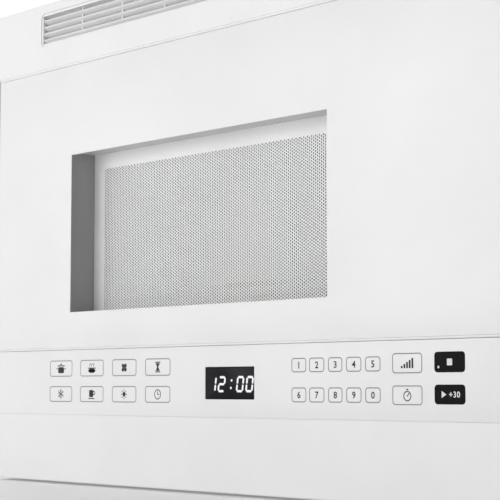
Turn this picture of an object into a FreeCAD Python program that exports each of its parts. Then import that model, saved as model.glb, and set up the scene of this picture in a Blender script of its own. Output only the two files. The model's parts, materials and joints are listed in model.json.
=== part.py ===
import FreeCAD, Part
import math
import os

# Over the range microwave oven, 24 inch class, with a hidden-grip door.
# Millimetres.  The origin lies on the wall, on the centre line, level with the
# lower edge of the case.  +Z is up, the wall is y = 0 and the door faces -Y.

Vec = FreeCAD.Vector
os.makedirs("parts", exist_ok=True)

# ---------------------------------------------------------------- cabinet
case_w = 606.0
case_h = 397.0
case_d = 400.0                # wall to front face
sheet = 1.0                   # steel sheet of case, pan, front plate and cavity
case_bend = 3.0               # outside radius of the two top bends
wall_plate_t = 1.5
wall_plate_drop = 45.0        # top of the case to the wall plate
wall_plate_inset = 20.0
stud_pitch = 406.4            # 16 inch stud spacing
stud_low = 62.0
stud_rise = 254.0
stud_hole_r = 3.5
hang_x = 170.0                # centre line to a hanging hook
hang_w = 50.0
hang_z = 24.0
hang_h = 14.0
hang_out = 5.5
hang_play = 1.5
pan_rise = 3.0                # base pan above the lower edge of the case
front_depth = 44.0            # front face to the front plate of the chassis
moulding = 3.0                # wall of the front mouldings
front_round = 1.6             # outer edges of the front mouldings

# ------------------------------------------------- front, from the bottom up
chin_h = 53.8
panel_seam = 0.4
panel_h = 51.6
sill_seam = 1.7
head_seam = 2.0
head_h = 55.9                 # head strip above the door
side_strip = 5.4              # frame that shows beside the door
side_gap = 2.6

# ---------------------------------------------------------------- door
door_depth = 42.0
glass_t = 3.2
edge_round = 0.8              # ground edge of the front glass
door_wall = 2.2
window_left = 103.2           # left edge of the door to the clear window
window_right = 153.5          # clear window to the right edge of the glass
window_low = 29.0             # lower edge of the door to the clear window
window_top = 74.2             # clear window to the upper edge of the door
tunnel_margin = 2.3           # the recess is wider than the clear window
screen_depth = 25.8           # front face to the perforated screen
screen_t = 0.6
screen_lap = 12.0             # screen behind the frame, all round
film_t = 0.5
pan_wall = 1.2
rear_cover_t = 3.0
rear_cover_inset = 1.6
hinge_in = 10.5               # pivot to the left edge of the door
hinge_back = 6.5              # pivot to the front face
pin_r = 2.0
pin_play = 0.05
pin_reach = 11.0
bush_wall = 0.95
bush_flange_t = 1.3
bush_flange_r = 3.3
hinge_t = 2.2
hinge_w = 20.0
hinge_flange_h = 30.0
grip_w = 43.0                 # right end of the door beyond the glass
grip_rib = 9.0
grip_depth = 22.0
grip_undercut = 10.0          # room for the fingertips behind the glass
grip_wall = 2.5

# ---------------------------------------------------------------- latch
latch_from_edge = 70.0        # right edge of the door to the latch bar
latch_w = 12.0
latch_t = 3.0
latch_h = 150.0
latch_travel = 5.0
hook_w = 4.0
hook_h = 9.0
hook_nose = 3.0
hook_reach = 20.0             # hook tip behind the face of the front plate
hook_inset = 22.0             # hooks from the ends of the latch bar
swing_room = 4.0              # slot beside a hook, for the arc it swings on
spring_wire = 1.2
spring_r = 3.6
spring_turns = 6
spring_steps = 12             # straight runs to a turn
spring_seat = 20.0

# ---------------------------------------------------------------- cavity
duct_w = 70.0                 # left air duct, case to cavity
bay_w = 163.0                 # component bay, cavity to case
choke_w = 19.0                # door overlap above and below the mouth
deck_rise = 9.0               # roof of the cavity to the joint of the front plate
rear_gap = 32.5               # cavity back to the back panel
cavity_round = 6.0
tray_wall_gap = 20.0          # tray to the nearest cavity wall
tray_t = 5.0
tray_rise = 12.0
tray_rim = 12.0
roller_r = 9.0
roller_w = 11.2
roller_path_r = 90.0
ring_w = 8.0
ring_h = 4.0
axle_r = 2.0
coupler_r = 4.0
lobe_reach = 20.0
lobe_w = 7.0
run_gap = 0.3                 # between a moving piece and what carries it
motor_r = 24.0
motor_h = 15.0
port_w = 70.0
port_h = 40.0
vent_hole_r = 2.0
vent_pitch = 8.0
vent_columns = 8
vent_rows = 5

# ---------------------------------------------------------------- base
filter_w = 150.0
filter_l = 190.0
filter_flange = 7.0
filter_out = 40.0             # filter opening to the side of the case
filter_back = 95.0            # filter opening to the wall
filter_body_h = 6.0
filter_skin = 1.3
filter_gap = 0.5
pan_slot_w = 100.0
lamp_x = 70.0
lamp_w = 60.0
lamp_l = 42.0
lamp_front = 62.0             # front face to the lamps
lamp_h = 28.0
lens_lip = 3.0
lens_t = 1.0
bay_rise = 40.0               # floor of the component bay above the base pan

# ---------------------------------------------------------------- panel
overlay_t = 0.6
circuit_t = 0.6
circuit_w = 444.0
circuit_h = 42.0
panel_depth = 8.0
panel_rim = 2.5
display_w = 52.0
display_h = 23.2
display_low = 13.0            # lower edge of the panel to the display
display_t = 2.6
display_gap = 0.2
module_depth = 8.0
module_rim = 3.0
board_w = 280.0
board_h = 42.0
board_t = 1.6
post_r = 3.0

# ---------------------------------------------------------------- top
grille_in = 67.0              # grille to the side of the case
grille_h = 28.0
grille_top = 8.0              # top of the case to the grille
grille_blades = 5
grille_blade_t = 1.6
grille_tilt = 30.0
grille_ribs = 8
outlet_count = 8
outlet_w = 50.0
outlet_h = 30.0
charcoal_t = 14.0
collar_w = 254.0              # 10 inch
collar_l = 82.6               # 3 1/4 inch
collar_h = 18.0
collar_back = 20.7
collar_flange = 9.0
damper_r = 1.5
damper_t = 0.8
damper_rise = 10.0
blower_w = 78.0               # one wheel chamber, along X
blower_half_gap = 46.0        # centre line to a chamber
blower_wall = 1.5
wheel_gap = 5.0
wheel_blades = 20
wheel_ring = 7.0
blower_motor_r = 29.0
blower_motor_half = 38.0
bolt_x = 200.0
bolt_front = 110.0
bolt_hole_r = 3.5
nut_plate_w = 44.0
gland_in = 50.0               # cord outlet to the right side of the case
gland_back = 36.0
gland_r = 9.0
gland_bore_r = 5.0

# ---------------------------------------------------------------- components
guide_w = 36.0                # waveguide, out from the cavity wall
guide_l = 86.0
guide_top = 23.6              # waveguide to the roof of the cavity
guide_low = 64.0              # cavity floor to the waveguide
magnetron_l = 62.0
magnetron_w = 90.0
magnetron_h = 74.0
magnetron_fins = 9
fin_t = 0.8
fan_r = 48.0
fan_blades = 6
fan_tip_gap = 2.0
fan_ring_l = 20.0
fan_hub_l = 16.0
bulkhead_back = 60.0          # wall to the fan bulkhead
fan_motor_r = 22.0
fan_motor_l = 24.0
fan_motor_gap = 12.0          # bulkhead to the fan motor
core_w = 92.0
core_l = 66.0
core_h = 76.0
core_in = 50.0                # cavity to the transformer
core_front = 60.0             # bulkhead to transformer and capacitor
can_w = 30.0
can_l = 54.0
can_h = 88.0
lamp_plate_w = 44.0
lamp_plate_h = 34.0
bracket_l = 48.0              # interlock bracket behind the front plate
bracket_t = 4.0
switch_gap = 6.0              # hook slot to the interlock bracket

screw_r = 1.8
screw_head_r = 3.8
screw_head_t = 2.0
screw_gap = 0.05

# ================================================================ levels
half_w = case_w / 2
face_y = -case_d
plate_y = face_y + front_depth
plate_back_y = plate_y + sheet
back_y = -wall_plate_t - sheet
case_x = (-half_w, half_w)
inner_x = (-half_w + sheet, half_w - sheet)
case_y = (plate_y, -wall_plate_t)
inner_y = (plate_back_y, back_y)
roof_z = case_h - sheet
bend_z = case_h - case_bend
wall_plate_h = case_h - wall_plate_drop
grille_w = case_w - 2 * grille_in
pan_z = (pan_rise, pan_rise + sheet)

panel_z = (chin_h + panel_seam, chin_h + panel_seam + panel_h)
door_h = case_h - head_h - head_seam - sill_seam - panel_z[1]
door_z = (panel_z[1] + sill_seam, panel_z[1] + sill_seam + door_h)
head_z = door_z[1] + head_seam
door_x = (-half_w + side_strip + side_gap, half_w - side_strip - side_gap)
glass_x = (door_x[0], door_x[1] - grip_w)
frame_x = (door_x[0], glass_x[1] - grip_undercut)
glass_back_y = face_y + glass_t
door_back_y = face_y + door_depth
cover_y = (door_back_y - rear_cover_t, door_back_y)
screen_y = (face_y + screen_depth, face_y + screen_depth + screen_t)

window_x = (glass_x[0] + window_left, glass_x[1] - window_right)
window_z = (door_z[0] + window_low, door_z[1] - window_top)
hinge_x = door_x[0] + hinge_in
hinge_y = face_y + hinge_back

cavity_w = case_w - duct_w - bay_w - 3 * sheet
cavity_x = (-half_w + duct_w + sheet, -half_w + duct_w + sheet + cavity_w)
cavity_y = (plate_y, back_y - rear_gap)
cavity_z = (door_z[0] + choke_w, door_z[1] - choke_w)
guide_h = cavity_z[1] - cavity_z[0] - guide_low - guide_top
table_x = sum(cavity_x) / 2
table_y = sum(cavity_y) / 2
tray_r = min(cavity_w, cavity_y[1] - cavity_y[0]) / 2 - tray_wall_gap
roller_z = cavity_z[0] + run_gap + roller_r
tray_z = roller_z + roller_r + run_gap

bay_x = (cavity_x[1] + sheet, inner_x[1])
bay_z = pan_z[1] + bay_rise
bay_top_z = bay_z + sheet
bulkhead_y = (-bulkhead_back - sheet, -bulkhead_back)

top_z = (cavity_z[1] + sheet, roof_z)
blower_z = sum(top_z) / 2
blower_r = (top_z[1] - top_z[0]) / 2
collar_y = (-collar_back - collar_l, -collar_back)
blower_y = sum(collar_y) / 2
latch_x = door_x[1] - latch_from_edge
latch_z = (sum(door_z) - latch_h) / 2


# ================================================================ helpers
def grow(span, amount):
    """Span widened by an amount at each end."""
    return (span[0] - amount, span[1] + amount)


def grow_pair(spans, amount):
    """Two spans, each widened by an amount at each end."""
    return tuple(grow(span, amount) for span in spans)


def about(centre, width):
    """Span of a width about its centre."""
    return (centre - width / 2, centre + width / 2)


def block(x, y, z):
    """Box from three spans."""
    return Part.makeBox(x[1] - x[0], y[1] - y[0], z[1] - z[0], Vec(x[0], y[0], z[0]))


def rod(axis, centre, span, radius):
    """Cylinder along an axis; centre holds the two other coordinates in order."""
    length = span[1] - span[0]
    a, b = centre
    if axis == "x":
        return Part.makeCylinder(radius, length, Vec(span[0], a, b), Vec(1, 0, 0))
    if axis == "y":
        return Part.makeCylinder(radius, length, Vec(a, span[0], b), Vec(0, 1, 0))
    return Part.makeCylinder(radius, length, Vec(a, b, span[0]), Vec(0, 0, 1))


def tube(axis, centre, span, outer, inner):
    """Cylinder with a through bore."""
    return rod(axis, centre, span, outer).cut(rod(axis, centre, grow(span, 1), inner))


def join(*shapes):
    """One solid from shapes that meet."""
    return shapes[0].fuse(list(shapes[1:])).removeSplitter()


def group(shapes):
    """Separate solids that share one node."""
    return Part.makeCompound(list(shapes))


def rounded(shape, axis, radius, keep=None):
    """Shape with its straight edges along an axis rounded, all or those kept by a test."""
    unit = {"x": Vec(1, 0, 0), "y": Vec(0, 1, 0), "z": Vec(0, 0, 1)}[axis]
    edges = []
    for edge in shape.Edges:
        ends = [vertex.Point for vertex in edge.Vertexes]
        if len(ends) != 2 or abs(edge.Length - (ends[1] - ends[0]).Length) > 1e-6:
            continue
        along = abs((ends[1] - ends[0]).dot(unit)) / edge.Length
        if along > 0.999 and (keep is None or keep(edge.CenterOfMass)):
            edges.append(edge)
    return shape.makeFillet(radius, edges)


def rounded_block(x, y, z, axis, radius):
    """Box with its four edges along an axis rounded."""
    return rounded(block(x, y, z), axis, radius)


def prism_x(points, span):
    """Outline of (y, z) points pushed along X."""
    wire = Part.makePolygon([Vec(span[0], y, z) for y, z in points + points[:1]])
    return Part.Face(wire).extrude(Vec(span[1] - span[0], 0, 0))


def spun_z(points, centre):
    """Outline of (radius, z) points turned about a vertical axis."""
    wire = Part.makePolygon([Vec(centre[0] + r, centre[1], z) for r, z in points + points[:1]])
    turned = Part.Face(wire).revolve(Vec(centre[0], centre[1], 0), Vec(0, 0, 1), 360)
    return turned


def turned(shape, centre, axis, angle):
    """Copy turned about a point."""
    copy = shape.copy()
    copy.rotate(centre, axis, angle)
    return copy


def screw(axis, centre, seat, depth, side):
    """Pan head screw: its head stands on the seat, side +1 or -1 along the axis."""
    head = tuple(sorted((seat, seat + side * screw_head_t)))
    shank = tuple(sorted((seat, seat - side * depth)))
    return join(rod(axis, centre, head, screw_head_r), rod(axis, centre, shank, screw_r))


def screw_holes(axis, centres, span):
    """Clearance holes for screws."""
    return [rod(axis, centre, span, screw_r + screw_gap) for centre in centres]


def save(name, shape):
    """Write one sub-part."""
    shape.exportStep("parts/" + name + ".step")


# ================================================================ fastener places
collar_screws = [(side * (collar_w + collar_flange) / 2, y) for side in (-1, 1)
                 for y in (collar_y[0] + screw_head_r, collar_y[1] - screw_head_r)]
hinge_screws_low = [(hinge_x, panel_z[1] - hinge_flange_h / 2)]
hinge_screws_high = [(hinge_x, head_z + hinge_flange_h / 2)]
cover_screws = [(x, z) for x in (frame_x[0] + 30, frame_x[1] - 40)
                for z in (door_z[0] + 7, door_z[1] - 7)]
back_screws = [(x, z) for x in (inner_x[0] + 12, inner_x[1] - 12)
               for z in (case_h * 0.25, case_h * 0.5, case_h * 0.75)]
grille_screws = [(x, case_h - grille_top - grille_h / 2)
                 for x in (-grille_w / 2 - 7, grille_w / 2 + 7)]


# ================================================================ hanging and case
def wall_plate():
    """Steel plate that is screwed to the studs; two hooks carry the oven."""
    x = grow(case_x, -wall_plate_inset)
    plate = rounded(block(x, (-wall_plate_t, 0), (0, wall_plate_h)), "y", 10,
                    lambda p: p.z > wall_plate_h / 2)
    holes = [rod("y", (side * stud_pitch / 2, z), (-wall_plate_t - 1, 1), stud_hole_r)
             for side in (-1, 1) for z in (stud_low, stud_low + stud_rise)]
    parts = [plate.cut(holes)]
    for side in (-1, 1):
        tab_x = about(side * hang_x, hang_w)
        parts.append(block(tab_x, (-hang_out, -wall_plate_t), (hang_z, hang_z + wall_plate_t)))
        parts.append(block(tab_x, (-hang_out, -hang_out + wall_plate_t),
                           (hang_z, hang_z + hang_h)))
    return join(*parts)


def back_panel():
    """Steel back between the sides of the case, with slots for the hooks."""
    panel = block(inner_x, (back_y, -wall_plate_t), (pan_rise, roof_z))
    panel = rounded(panel, "y", case_bend, lambda p: p.z > case_h / 2)
    slots = [block(grow(about(side * hang_x, hang_w), hang_play), (back_y - 1, 0),
                   (hang_z - hang_play, hang_z + hang_h + hang_play)) for side in (-1, 1)]
    return panel.cut(slots + screw_holes("y", back_screws, (back_y - 1, 0)))


def bolt_places():
    """The two bolts that come down from the wall cabinet."""
    return [(side * bolt_x, face_y + bolt_front) for side in (-1, 1)]


def gland_place():
    """Centre of the cord outlet in the roof."""
    return (half_w - gland_in, -gland_back)


def outer_case():
    """Sheet case: the roof with its two bends, and the two sides."""
    above = lambda p: p.z > case_h / 2
    outer = rounded(block(case_x, case_y, (0, case_h)), "y", case_bend, above)
    inner = rounded(block(inner_x, grow(case_y, 1), (-1, roof_z)), "y", case_bend - sheet, above)
    roof = (roof_z - 1, case_h + 1)
    cuts = [block(about(0, collar_w - 2 * sheet), grow(collar_y, -sheet), roof)]
    cuts += [rod("z", place, roof, bolt_hole_r) for place in bolt_places()]
    cuts.append(rod("z", gland_place(), roof, gland_r))
    cuts += screw_holes("z", collar_screws, roof)
    intake_x = (bay_x[0] + 12, gland_place()[0] - gland_r - 12)
    for row in range(6):
        y = back_y - 12 - row * 7
        cuts.append(rounded_block(intake_x, (y - 3, y), roof, "z", 1.4))
    wrap = outer.cut(inner).cut(cuts)
    reach_y = grow(case_y, 1)
    roof_part = wrap.common(block(grow(case_x, 1), reach_y, (bend_z, case_h + 1)))
    sides = [wrap.common(block(tuple(sorted((0, side * case_w))), reach_y, (-1, bend_z))) for side in (-1, 1)]
    return group([roof_part] + sides)


# ================================================================ base
def filter_spans():
    """Openings of the two grease filters as (x, y) spans."""
    y = (-filter_back - filter_l, -filter_back)
    left = (-half_w + filter_out, -half_w + filter_out + filter_w)
    return [(left, y), ((-left[1], -left[0]), y)]


def lamp_spans():
    """Openings of the two cooktop lamps as (x, y) spans."""
    return [(about(side * lamp_x, lamp_w), about(face_y + lamp_front + lamp_l / 2, lamp_l))
            for side in (-1, 1)]


def base_pan():
    """Bottom sheet with openings for filters, lamps and cooling air."""
    pan = block(inner_x, inner_y, pan_z)
    through = grow(pan_z, 1)
    cuts = [rounded_block(x, y, through, "z", 4) for x, y in filter_spans()]
    cuts += [rounded_block(x, y, through, "z", 4) for x, y in lamp_spans()]
    for row in range(8):
        y = back_y - 18 - row * 8
        cuts.append(rounded_block(about(0, pan_slot_w), (y - 3, y), through, "z", 1.4))
    return pan.cut(cuts)


def bay_floor():
    """Shelf under the component bay, folded down to the base pan before and behind the filter."""
    shelf = block(bay_x, inner_y, (bay_z, bay_top_z))
    _, filter_y = grow_pair(filter_spans()[1], filter_flange + 4)
    legs = [block((bay_x[0], bay_x[0] + sheet), y, (pan_z[1], bay_z))
            for y in ((inner_y[0], filter_y[0]), (filter_y[1], inner_y[1]))]
    return join(shelf, *legs)


def grease_filter(index):
    """Aluminium mesh filter: a flange below the pan and a body up in its opening."""
    x, y = filter_spans()[index]
    flange_z = (pan_rise - run_gap - filter_skin, pan_rise - run_gap)
    body_z = (flange_z[1], pan_rise + filter_body_h)
    flange = rounded_block(grow(x, filter_flange), grow(y, filter_flange), flange_z, "z", 6)
    body = rounded_block(grow(x, -filter_gap), grow(y, -filter_gap), body_z, "z", 4)
    mouth = rounded_block(grow(x, -8), grow(y, -8), (flange_z[0] - 1, flange_z[0] + 3), "z", 3)
    hollow = rounded_block(grow(x, -8), grow(y, -8), (flange_z[0] + 5, body_z[1] + 1), "z", 3)
    return join(flange, body).cut([mouth, hollow])


def cooktop_lamps():
    """Two lamp housings that stand on the base pan, each with its bulb."""
    lamps = []
    for x, y in lamp_spans():
        shell = rounded_block(grow(x, 4), grow(y, 4), (pan_z[1], pan_z[1] + lamp_h), "z", 5)
        room = rounded_block(grow(x, 2.5), grow(y, 2.5), (pan_z[1] - 1, pan_z[1] + lamp_h - 1.5), "z", 4)
        middle = (sum(x) / 2, sum(y) / 2)
        roof = pan_z[1] + lamp_h - 1.5
        bulb = join(rod("z", middle, (roof - 8, roof), 9), rod("z", middle, (roof - 15, roof - 8), 14))
        lamps.append(join(shell.cut(room), bulb))
    return group(lamps)


def lamp_lenses():
    """Two clear covers that snap into the base pan."""
    lenses = []
    for x, y in lamp_spans():
        lip = rounded_block(grow(x, lens_lip), grow(y, lens_lip), (pan_rise - lens_t, pan_rise), "z", 5)
        body = rounded_block(grow(x, -display_gap), grow(y, -display_gap), (pan_rise, pan_z[1] + 1), "z", 4)
        lenses.append(join(lip, body))
    return group(lenses)


# ================================================================ cavity and front plate
def vent_holes(x, y0, z0):
    """Rows of round holes through a wall that stands across X."""
    return [rod("x", (y0 + column * vent_pitch, z0 + row * vent_pitch), x, vent_hole_r)
            for column in range(vent_columns) for row in range(vent_rows)]


def guide_spans():
    """Waveguide outside the right wall of the cavity."""
    x = (cavity_x[1] + sheet, cavity_x[1] + sheet + guide_w)
    z = (cavity_z[0] + guide_low, cavity_z[0] + guide_low + guide_h)
    return x, about(table_y, guide_l), z


def port_spans():
    """Opening between waveguide and cavity."""
    _, y, z = guide_spans()
    return about(sum(y) / 2, port_w), (z[0] + 8, z[0] + 8 + port_h)


def cavity():
    """Oven box, open to the front."""
    outside = rounded_block(grow(cavity_x, sheet), (plate_back_y, cavity_y[1] + sheet),
                            grow(cavity_z, sheet), "y", cavity_round + sheet)
    inside = rounded_block(cavity_x, (plate_back_y - 1, cavity_y[1]), cavity_z, "y", cavity_round)
    right = grow(about(cavity_x[1] + sheet / 2, sheet), 1)
    left = grow(about(cavity_x[0] - sheet / 2, sheet), 1)
    port_y, port_z = port_spans()
    cuts = [block(right, port_y, port_z)]
    cuts.append(rod("z", (table_x, table_y), grow(about(cavity_z[0] - sheet / 2, sheet), 1), coupler_r + 3))
    cuts += vent_holes(right, cavity_y[1] - 26 - vent_columns * vent_pitch, cavity_z[1] - 56)
    cuts += vent_holes(left, cavity_y[0] + 40, cavity_z[1] - 56)
    return outside.cut(inside).cut(cuts)


def hook_spans(low):
    """X and Z spans of one latch hook at rest."""
    return about(latch_x, hook_w), (low, low + hook_h)


def hook_lows():
    """Lower edges of the two hooks."""
    return [latch_z + hook_inset, latch_z + latch_h - hook_inset - hook_h]


def hook_slots(y, play):
    """Slots that the hooks pass, clear of them over the travel and the swing."""
    slots = []
    for low in hook_lows():
        x, z = hook_spans(low)
        slots.append(block((x[0] - play, x[1] + play + swing_room), y,
                           (z[0] - hook_nose - play, z[1] + latch_travel + play)))
    return slots


def front_plate():
    """Face of the chassis: a lower sheet round the cavity's mouth and an air deck above it."""
    deck_z = top_z[0] + deck_rise
    plate = block(inner_x, (plate_y, plate_back_y), (sheet, roof_z))
    plate = rounded(plate, "y", case_bend, lambda p: p.z > case_h / 2)
    through = grow((plate_y, plate_back_y), 1)
    cuts = [rounded_block(cavity_x, through, cavity_z, "y", cavity_round)]
    cuts += hook_slots(through, 1.5)
    step = grille_w / outlet_count
    outlet_z = about(case_h - grille_top - grille_h / 2, outlet_h)
    for index in range(outlet_count):
        middle = -grille_w / 2 + (index + 0.5) * step
        cuts.append(rounded_block(about(middle, outlet_w), through, outlet_z, "y", 3))
    cuts.append(rounded_block(about(table_x, 50), through, grow(panel_z, -12), "y", 3))
    cuts += screw_holes("y", hinge_screws_low + hinge_screws_high, through)
    plate = plate.cut(cuts)
    halves = [(0, deck_z), (deck_z, case_h)]
    return group([plate.common(block(case_x, through, z)) for z in halves])


# ================================================================ front mouldings
def grille_spans():
    """Opening of the air outlet in the front frame."""
    return about(0, grille_w), (case_h - grille_top - grille_h, case_h - grille_top)


def front_bezel():
    """One-piece front frame: chin, two narrow sides and the head strip."""
    front_edge = lambda p: p.y < face_y + 0.1 and (abs(p.x) < 1 or abs(p.z - case_h / 2) < 1)
    body = block(case_x, (face_y, plate_y), (0, case_h))
    body = rounded(body, "z", front_round, front_edge)
    body = rounded(body, "x", front_round, lambda p: p.y < face_y + front_round + 0.1)
    room = block(grow(case_x, -moulding), (face_y + moulding, plate_y + 1), (moulding, case_h - moulding))
    door_hole = block(grow(door_x, side_gap), (face_y - 1, face_y + moulding + 1),
                      (panel_z[1], head_z))
    panel_band = block(grow(case_x, 1), (face_y - 1, face_y + panel_depth + display_gap),
                       (chin_h, panel_z[1] + panel_seam))
    grille_x, grille_z = grille_spans()
    outlet = rounded_block(grille_x, (face_y - 1, face_y + moulding + 1), grille_z, "y", 4)
    body = body.cut([room, door_hole, panel_band, outlet])
    web_y = (face_y + moulding, plate_y)
    sill = block(grow(case_x, -moulding), web_y, (chin_h - door_wall, chin_h))
    lintel_z = (head_z + hinge_t + run_gap, head_z + hinge_t + run_gap + door_wall)
    lintel = block((hinge_x + hinge_w, half_w - moulding), web_y, lintel_z)
    pillar_z = (lintel_z[0] + hinge_flange_h, case_h - moulding)
    pillars = [block(about(side * (grille_w / 2 + 20), 6), web_y, pillar_z) for side in (-1, 1)]
    posts = [rod("y", place, (face_y + moulding, face_y + moulding + 6), 4) for place in grille_screws]
    solid = join(body, sill, lintel, *pillars, *posts)
    return solid.cut(screw_holes("y", grille_screws, (face_y + moulding + 1, face_y + 20)))


def vent_grille():
    """Louvred outlet that fits in the head strip from behind."""
    grille_x, grille_z = grille_spans()
    sleeve_x = grow(grille_x, -display_gap)
    sleeve_z = grow(grille_z, -display_gap)
    sleeve_y = (face_y + 0.6, face_y + 12)
    sleeve = rounded_block(sleeve_x, sleeve_y, sleeve_z, "y", 4)
    sleeve = sleeve.cut(block(grow(sleeve_x, -2), grow(sleeve_y, 1), grow(sleeve_z, -2)))
    flange = block(grow(sleeve_x, 3), (face_y + moulding, face_y + moulding + 2), grow(sleeve_z, 3))
    ears = [block(about(x, 14), (face_y + moulding + 6, face_y + moulding + 8), about(z, 12))
            for x, z in grille_screws]
    arm_y = (face_y + moulding + 2, face_y + moulding + 8)
    arms = [block(tuple(sorted((x, math.copysign(abs(x) - 10, x)))), arm_y, about(z, 6))
            for x, z in grille_screws]
    flange = flange.cut(block(grow(sleeve_x, -2), grow(sleeve_y, 1), grow(sleeve_z, -2)))
    arms = [arm.cut(rod("y", place, (face_y, face_y + 20), 4 + display_gap))
            for arm, place in zip(arms, grille_screws)]
    blades = []
    pitch = (sleeve_z[1] - sleeve_z[0]) / grille_blades
    for index in range(grille_blades):
        middle = sleeve_z[0] + (index + 0.5) * pitch
        blade = block(grow(sleeve_x, -1), about(sum(sleeve_y) / 2, 11), about(middle, grille_blade_t))
        blade = turned(blade, Vec(0, sum(sleeve_y) / 2, middle), Vec(1, 0, 0), -grille_tilt)
        blades.append(blade.common(block(sleeve_x, sleeve_y, grow(sleeve_z, -1))))
    ribs = []
    step = (sleeve_x[1] - sleeve_x[0]) / (grille_ribs + 1)
    for index in range(grille_ribs):
        ribs.append(block(about(sleeve_x[0] + (index + 1) * step, 1.6), (sleeve_y[0] + 3, sleeve_y[1]),
                          grow(sleeve_z, -1)))
    holes = screw_holes("y", grille_screws, (face_y, face_y + 20))
    return join(sleeve, flange, *ears, *arms, *blades, *ribs).cut(holes)


def charcoal_filter():
    """Pleated charcoal block behind the outlets of the front plate."""
    x = grow(about(0, grille_w), 4)
    z = grow(about(case_h - grille_top - grille_h / 2, outlet_h), 3)
    y = (plate_back_y, plate_back_y + charcoal_t)
    step = grille_w / outlet_count
    pockets = [block(about(-grille_w / 2 + (index + 0.5) * step, outlet_w - 4), (y[0] - 1, y[0] + 5),
                     grow(z, -5)) for index in range(outlet_count)]
    return block(x, y, z).cut(pockets)


# ================================================================ control panel
def display_spans():
    """Display in the middle of the panel."""
    low = panel_z[0] + display_low
    return about(0, display_w), (low, low + display_h)


def board_spans():
    """Control board behind the panel."""
    y = face_y + moulding + module_depth + display_gap
    return about(10, board_w), (y, y + board_t), about(sum(panel_z) / 2, board_h)


def board_posts():
    """Four posts that carry the control board."""
    x, _, z = board_spans()
    return [(px, pz) for px in (x[0] + 6, x[1] - 6) for pz in (z[0] + 5, z[1] - 5)]


def control_panel():
    """Moulded carrier of the keypad, the full width of the front."""
    y = (face_y + overlay_t, face_y + panel_depth)
    wall_back = face_y + moulding
    body = block(case_x, y, panel_z)
    room = block(grow(case_x, -panel_rim), (wall_back, y[1] + 1), grow(panel_z, -panel_rim))
    hinge_notch = block((case_x[0] + panel_rim, hinge_x + hinge_w), (wall_back, y[1] + 1),
                        (panel_z[1] - panel_rim - 1, panel_z[1] + 1))
    seat = block(about(0, circuit_w), (y[0] - 1, y[0] + circuit_t), about(sum(panel_z) / 2, circuit_h))
    window_x_span, window_z_span = display_spans()
    hole = block(grow(window_x_span, display_gap), grow(y, 1), grow(window_z_span, display_gap))
    body = body.cut([room, hinge_notch, seat, hole])
    posts = [rod("y", place, (wall_back, board_spans()[1][0]), post_r) for place in board_posts()]
    return join(body, *posts)


def keypad_overlay():
    """Printed film over the whole panel."""
    film = block(case_x, (face_y, face_y + overlay_t), panel_z)
    film = rounded(film, "z", overlay_t * 0.8, lambda p: p.y < face_y + 0.1)
    x, z = display_spans()
    return film.cut(block(grow(x, display_gap), (face_y - 1, face_y + 2), grow(z, display_gap)))


def keypad_circuit():
    """Membrane switch sheet in the seat of the panel."""
    y = (face_y + overlay_t, face_y + overlay_t + circuit_t)
    sheet_solid = block(grow(about(0, circuit_w), -display_gap), y,
                        grow(about(sum(panel_z) / 2, circuit_h), -display_gap))
    x, z = display_spans()
    return sheet_solid.cut(block(grow(x, display_gap), grow(y, 1), grow(z, display_gap)))


def display_window():
    """Smoked window, flush with the panel."""
    x, z = display_spans()
    return rounded_block(x, (face_y, face_y + display_t), z, "y", 0.8)


def display_module():
    """Lit digit module between window and board."""
    x, z = display_spans()
    y = (face_y + moulding + display_gap, board_spans()[1][0])
    return block(grow(x, -module_rim), y, grow(z, -module_rim))


def control_board():
    """Board with relays, a small transformer and capacitors on its rear."""
    x, y, z = board_spans()
    board = block(x, y, z)
    rear = y[1]
    parts = [board]
    for index in range(4):
        relay_x = x[0] + 22 + index * 24
        parts.append(block((relay_x, relay_x + 18), (rear, rear + 15), (z[0] + 6, z[0] + 20)))
    for index in range(5):
        parts.append(rod("y", (x[0] + 28 + index * 16, z[1] - 10), (rear, rear + 12), 5))
    parts.append(block((x[1] - 70, x[1] - 34), (rear, rear + 24), (z[0] + 5, z[0] + 33)))
    parts.append(block((x[1] - 24, x[1] - 12), (rear, rear + 10), (z[0] + 5, z[0] + 33)))
    return join(*parts)


# ================================================================ door
def glass_spans():
    """Front glass."""
    return glass_x, (face_y, glass_back_y), door_z


def door_glass():
    """Front glass with ground edges; the left end is closed, the right end is a grip edge."""
    x, y, z = glass_spans()
    front = lambda p: p.y < face_y + edge_round
    pane = rounded(block(x, y, z), "x", edge_round, front)
    return rounded(pane, "z", edge_round, lambda p: p.y < face_y + edge_round and p.x > 0)


def tunnel():
    """X and Z spans of the recess behind the clear window."""
    return grow(window_x, tunnel_margin), grow(window_z, tunnel_margin)


def bush_r():
    """Outer radius of a hinge bush."""
    return pin_r + pin_play + bush_wall


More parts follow.
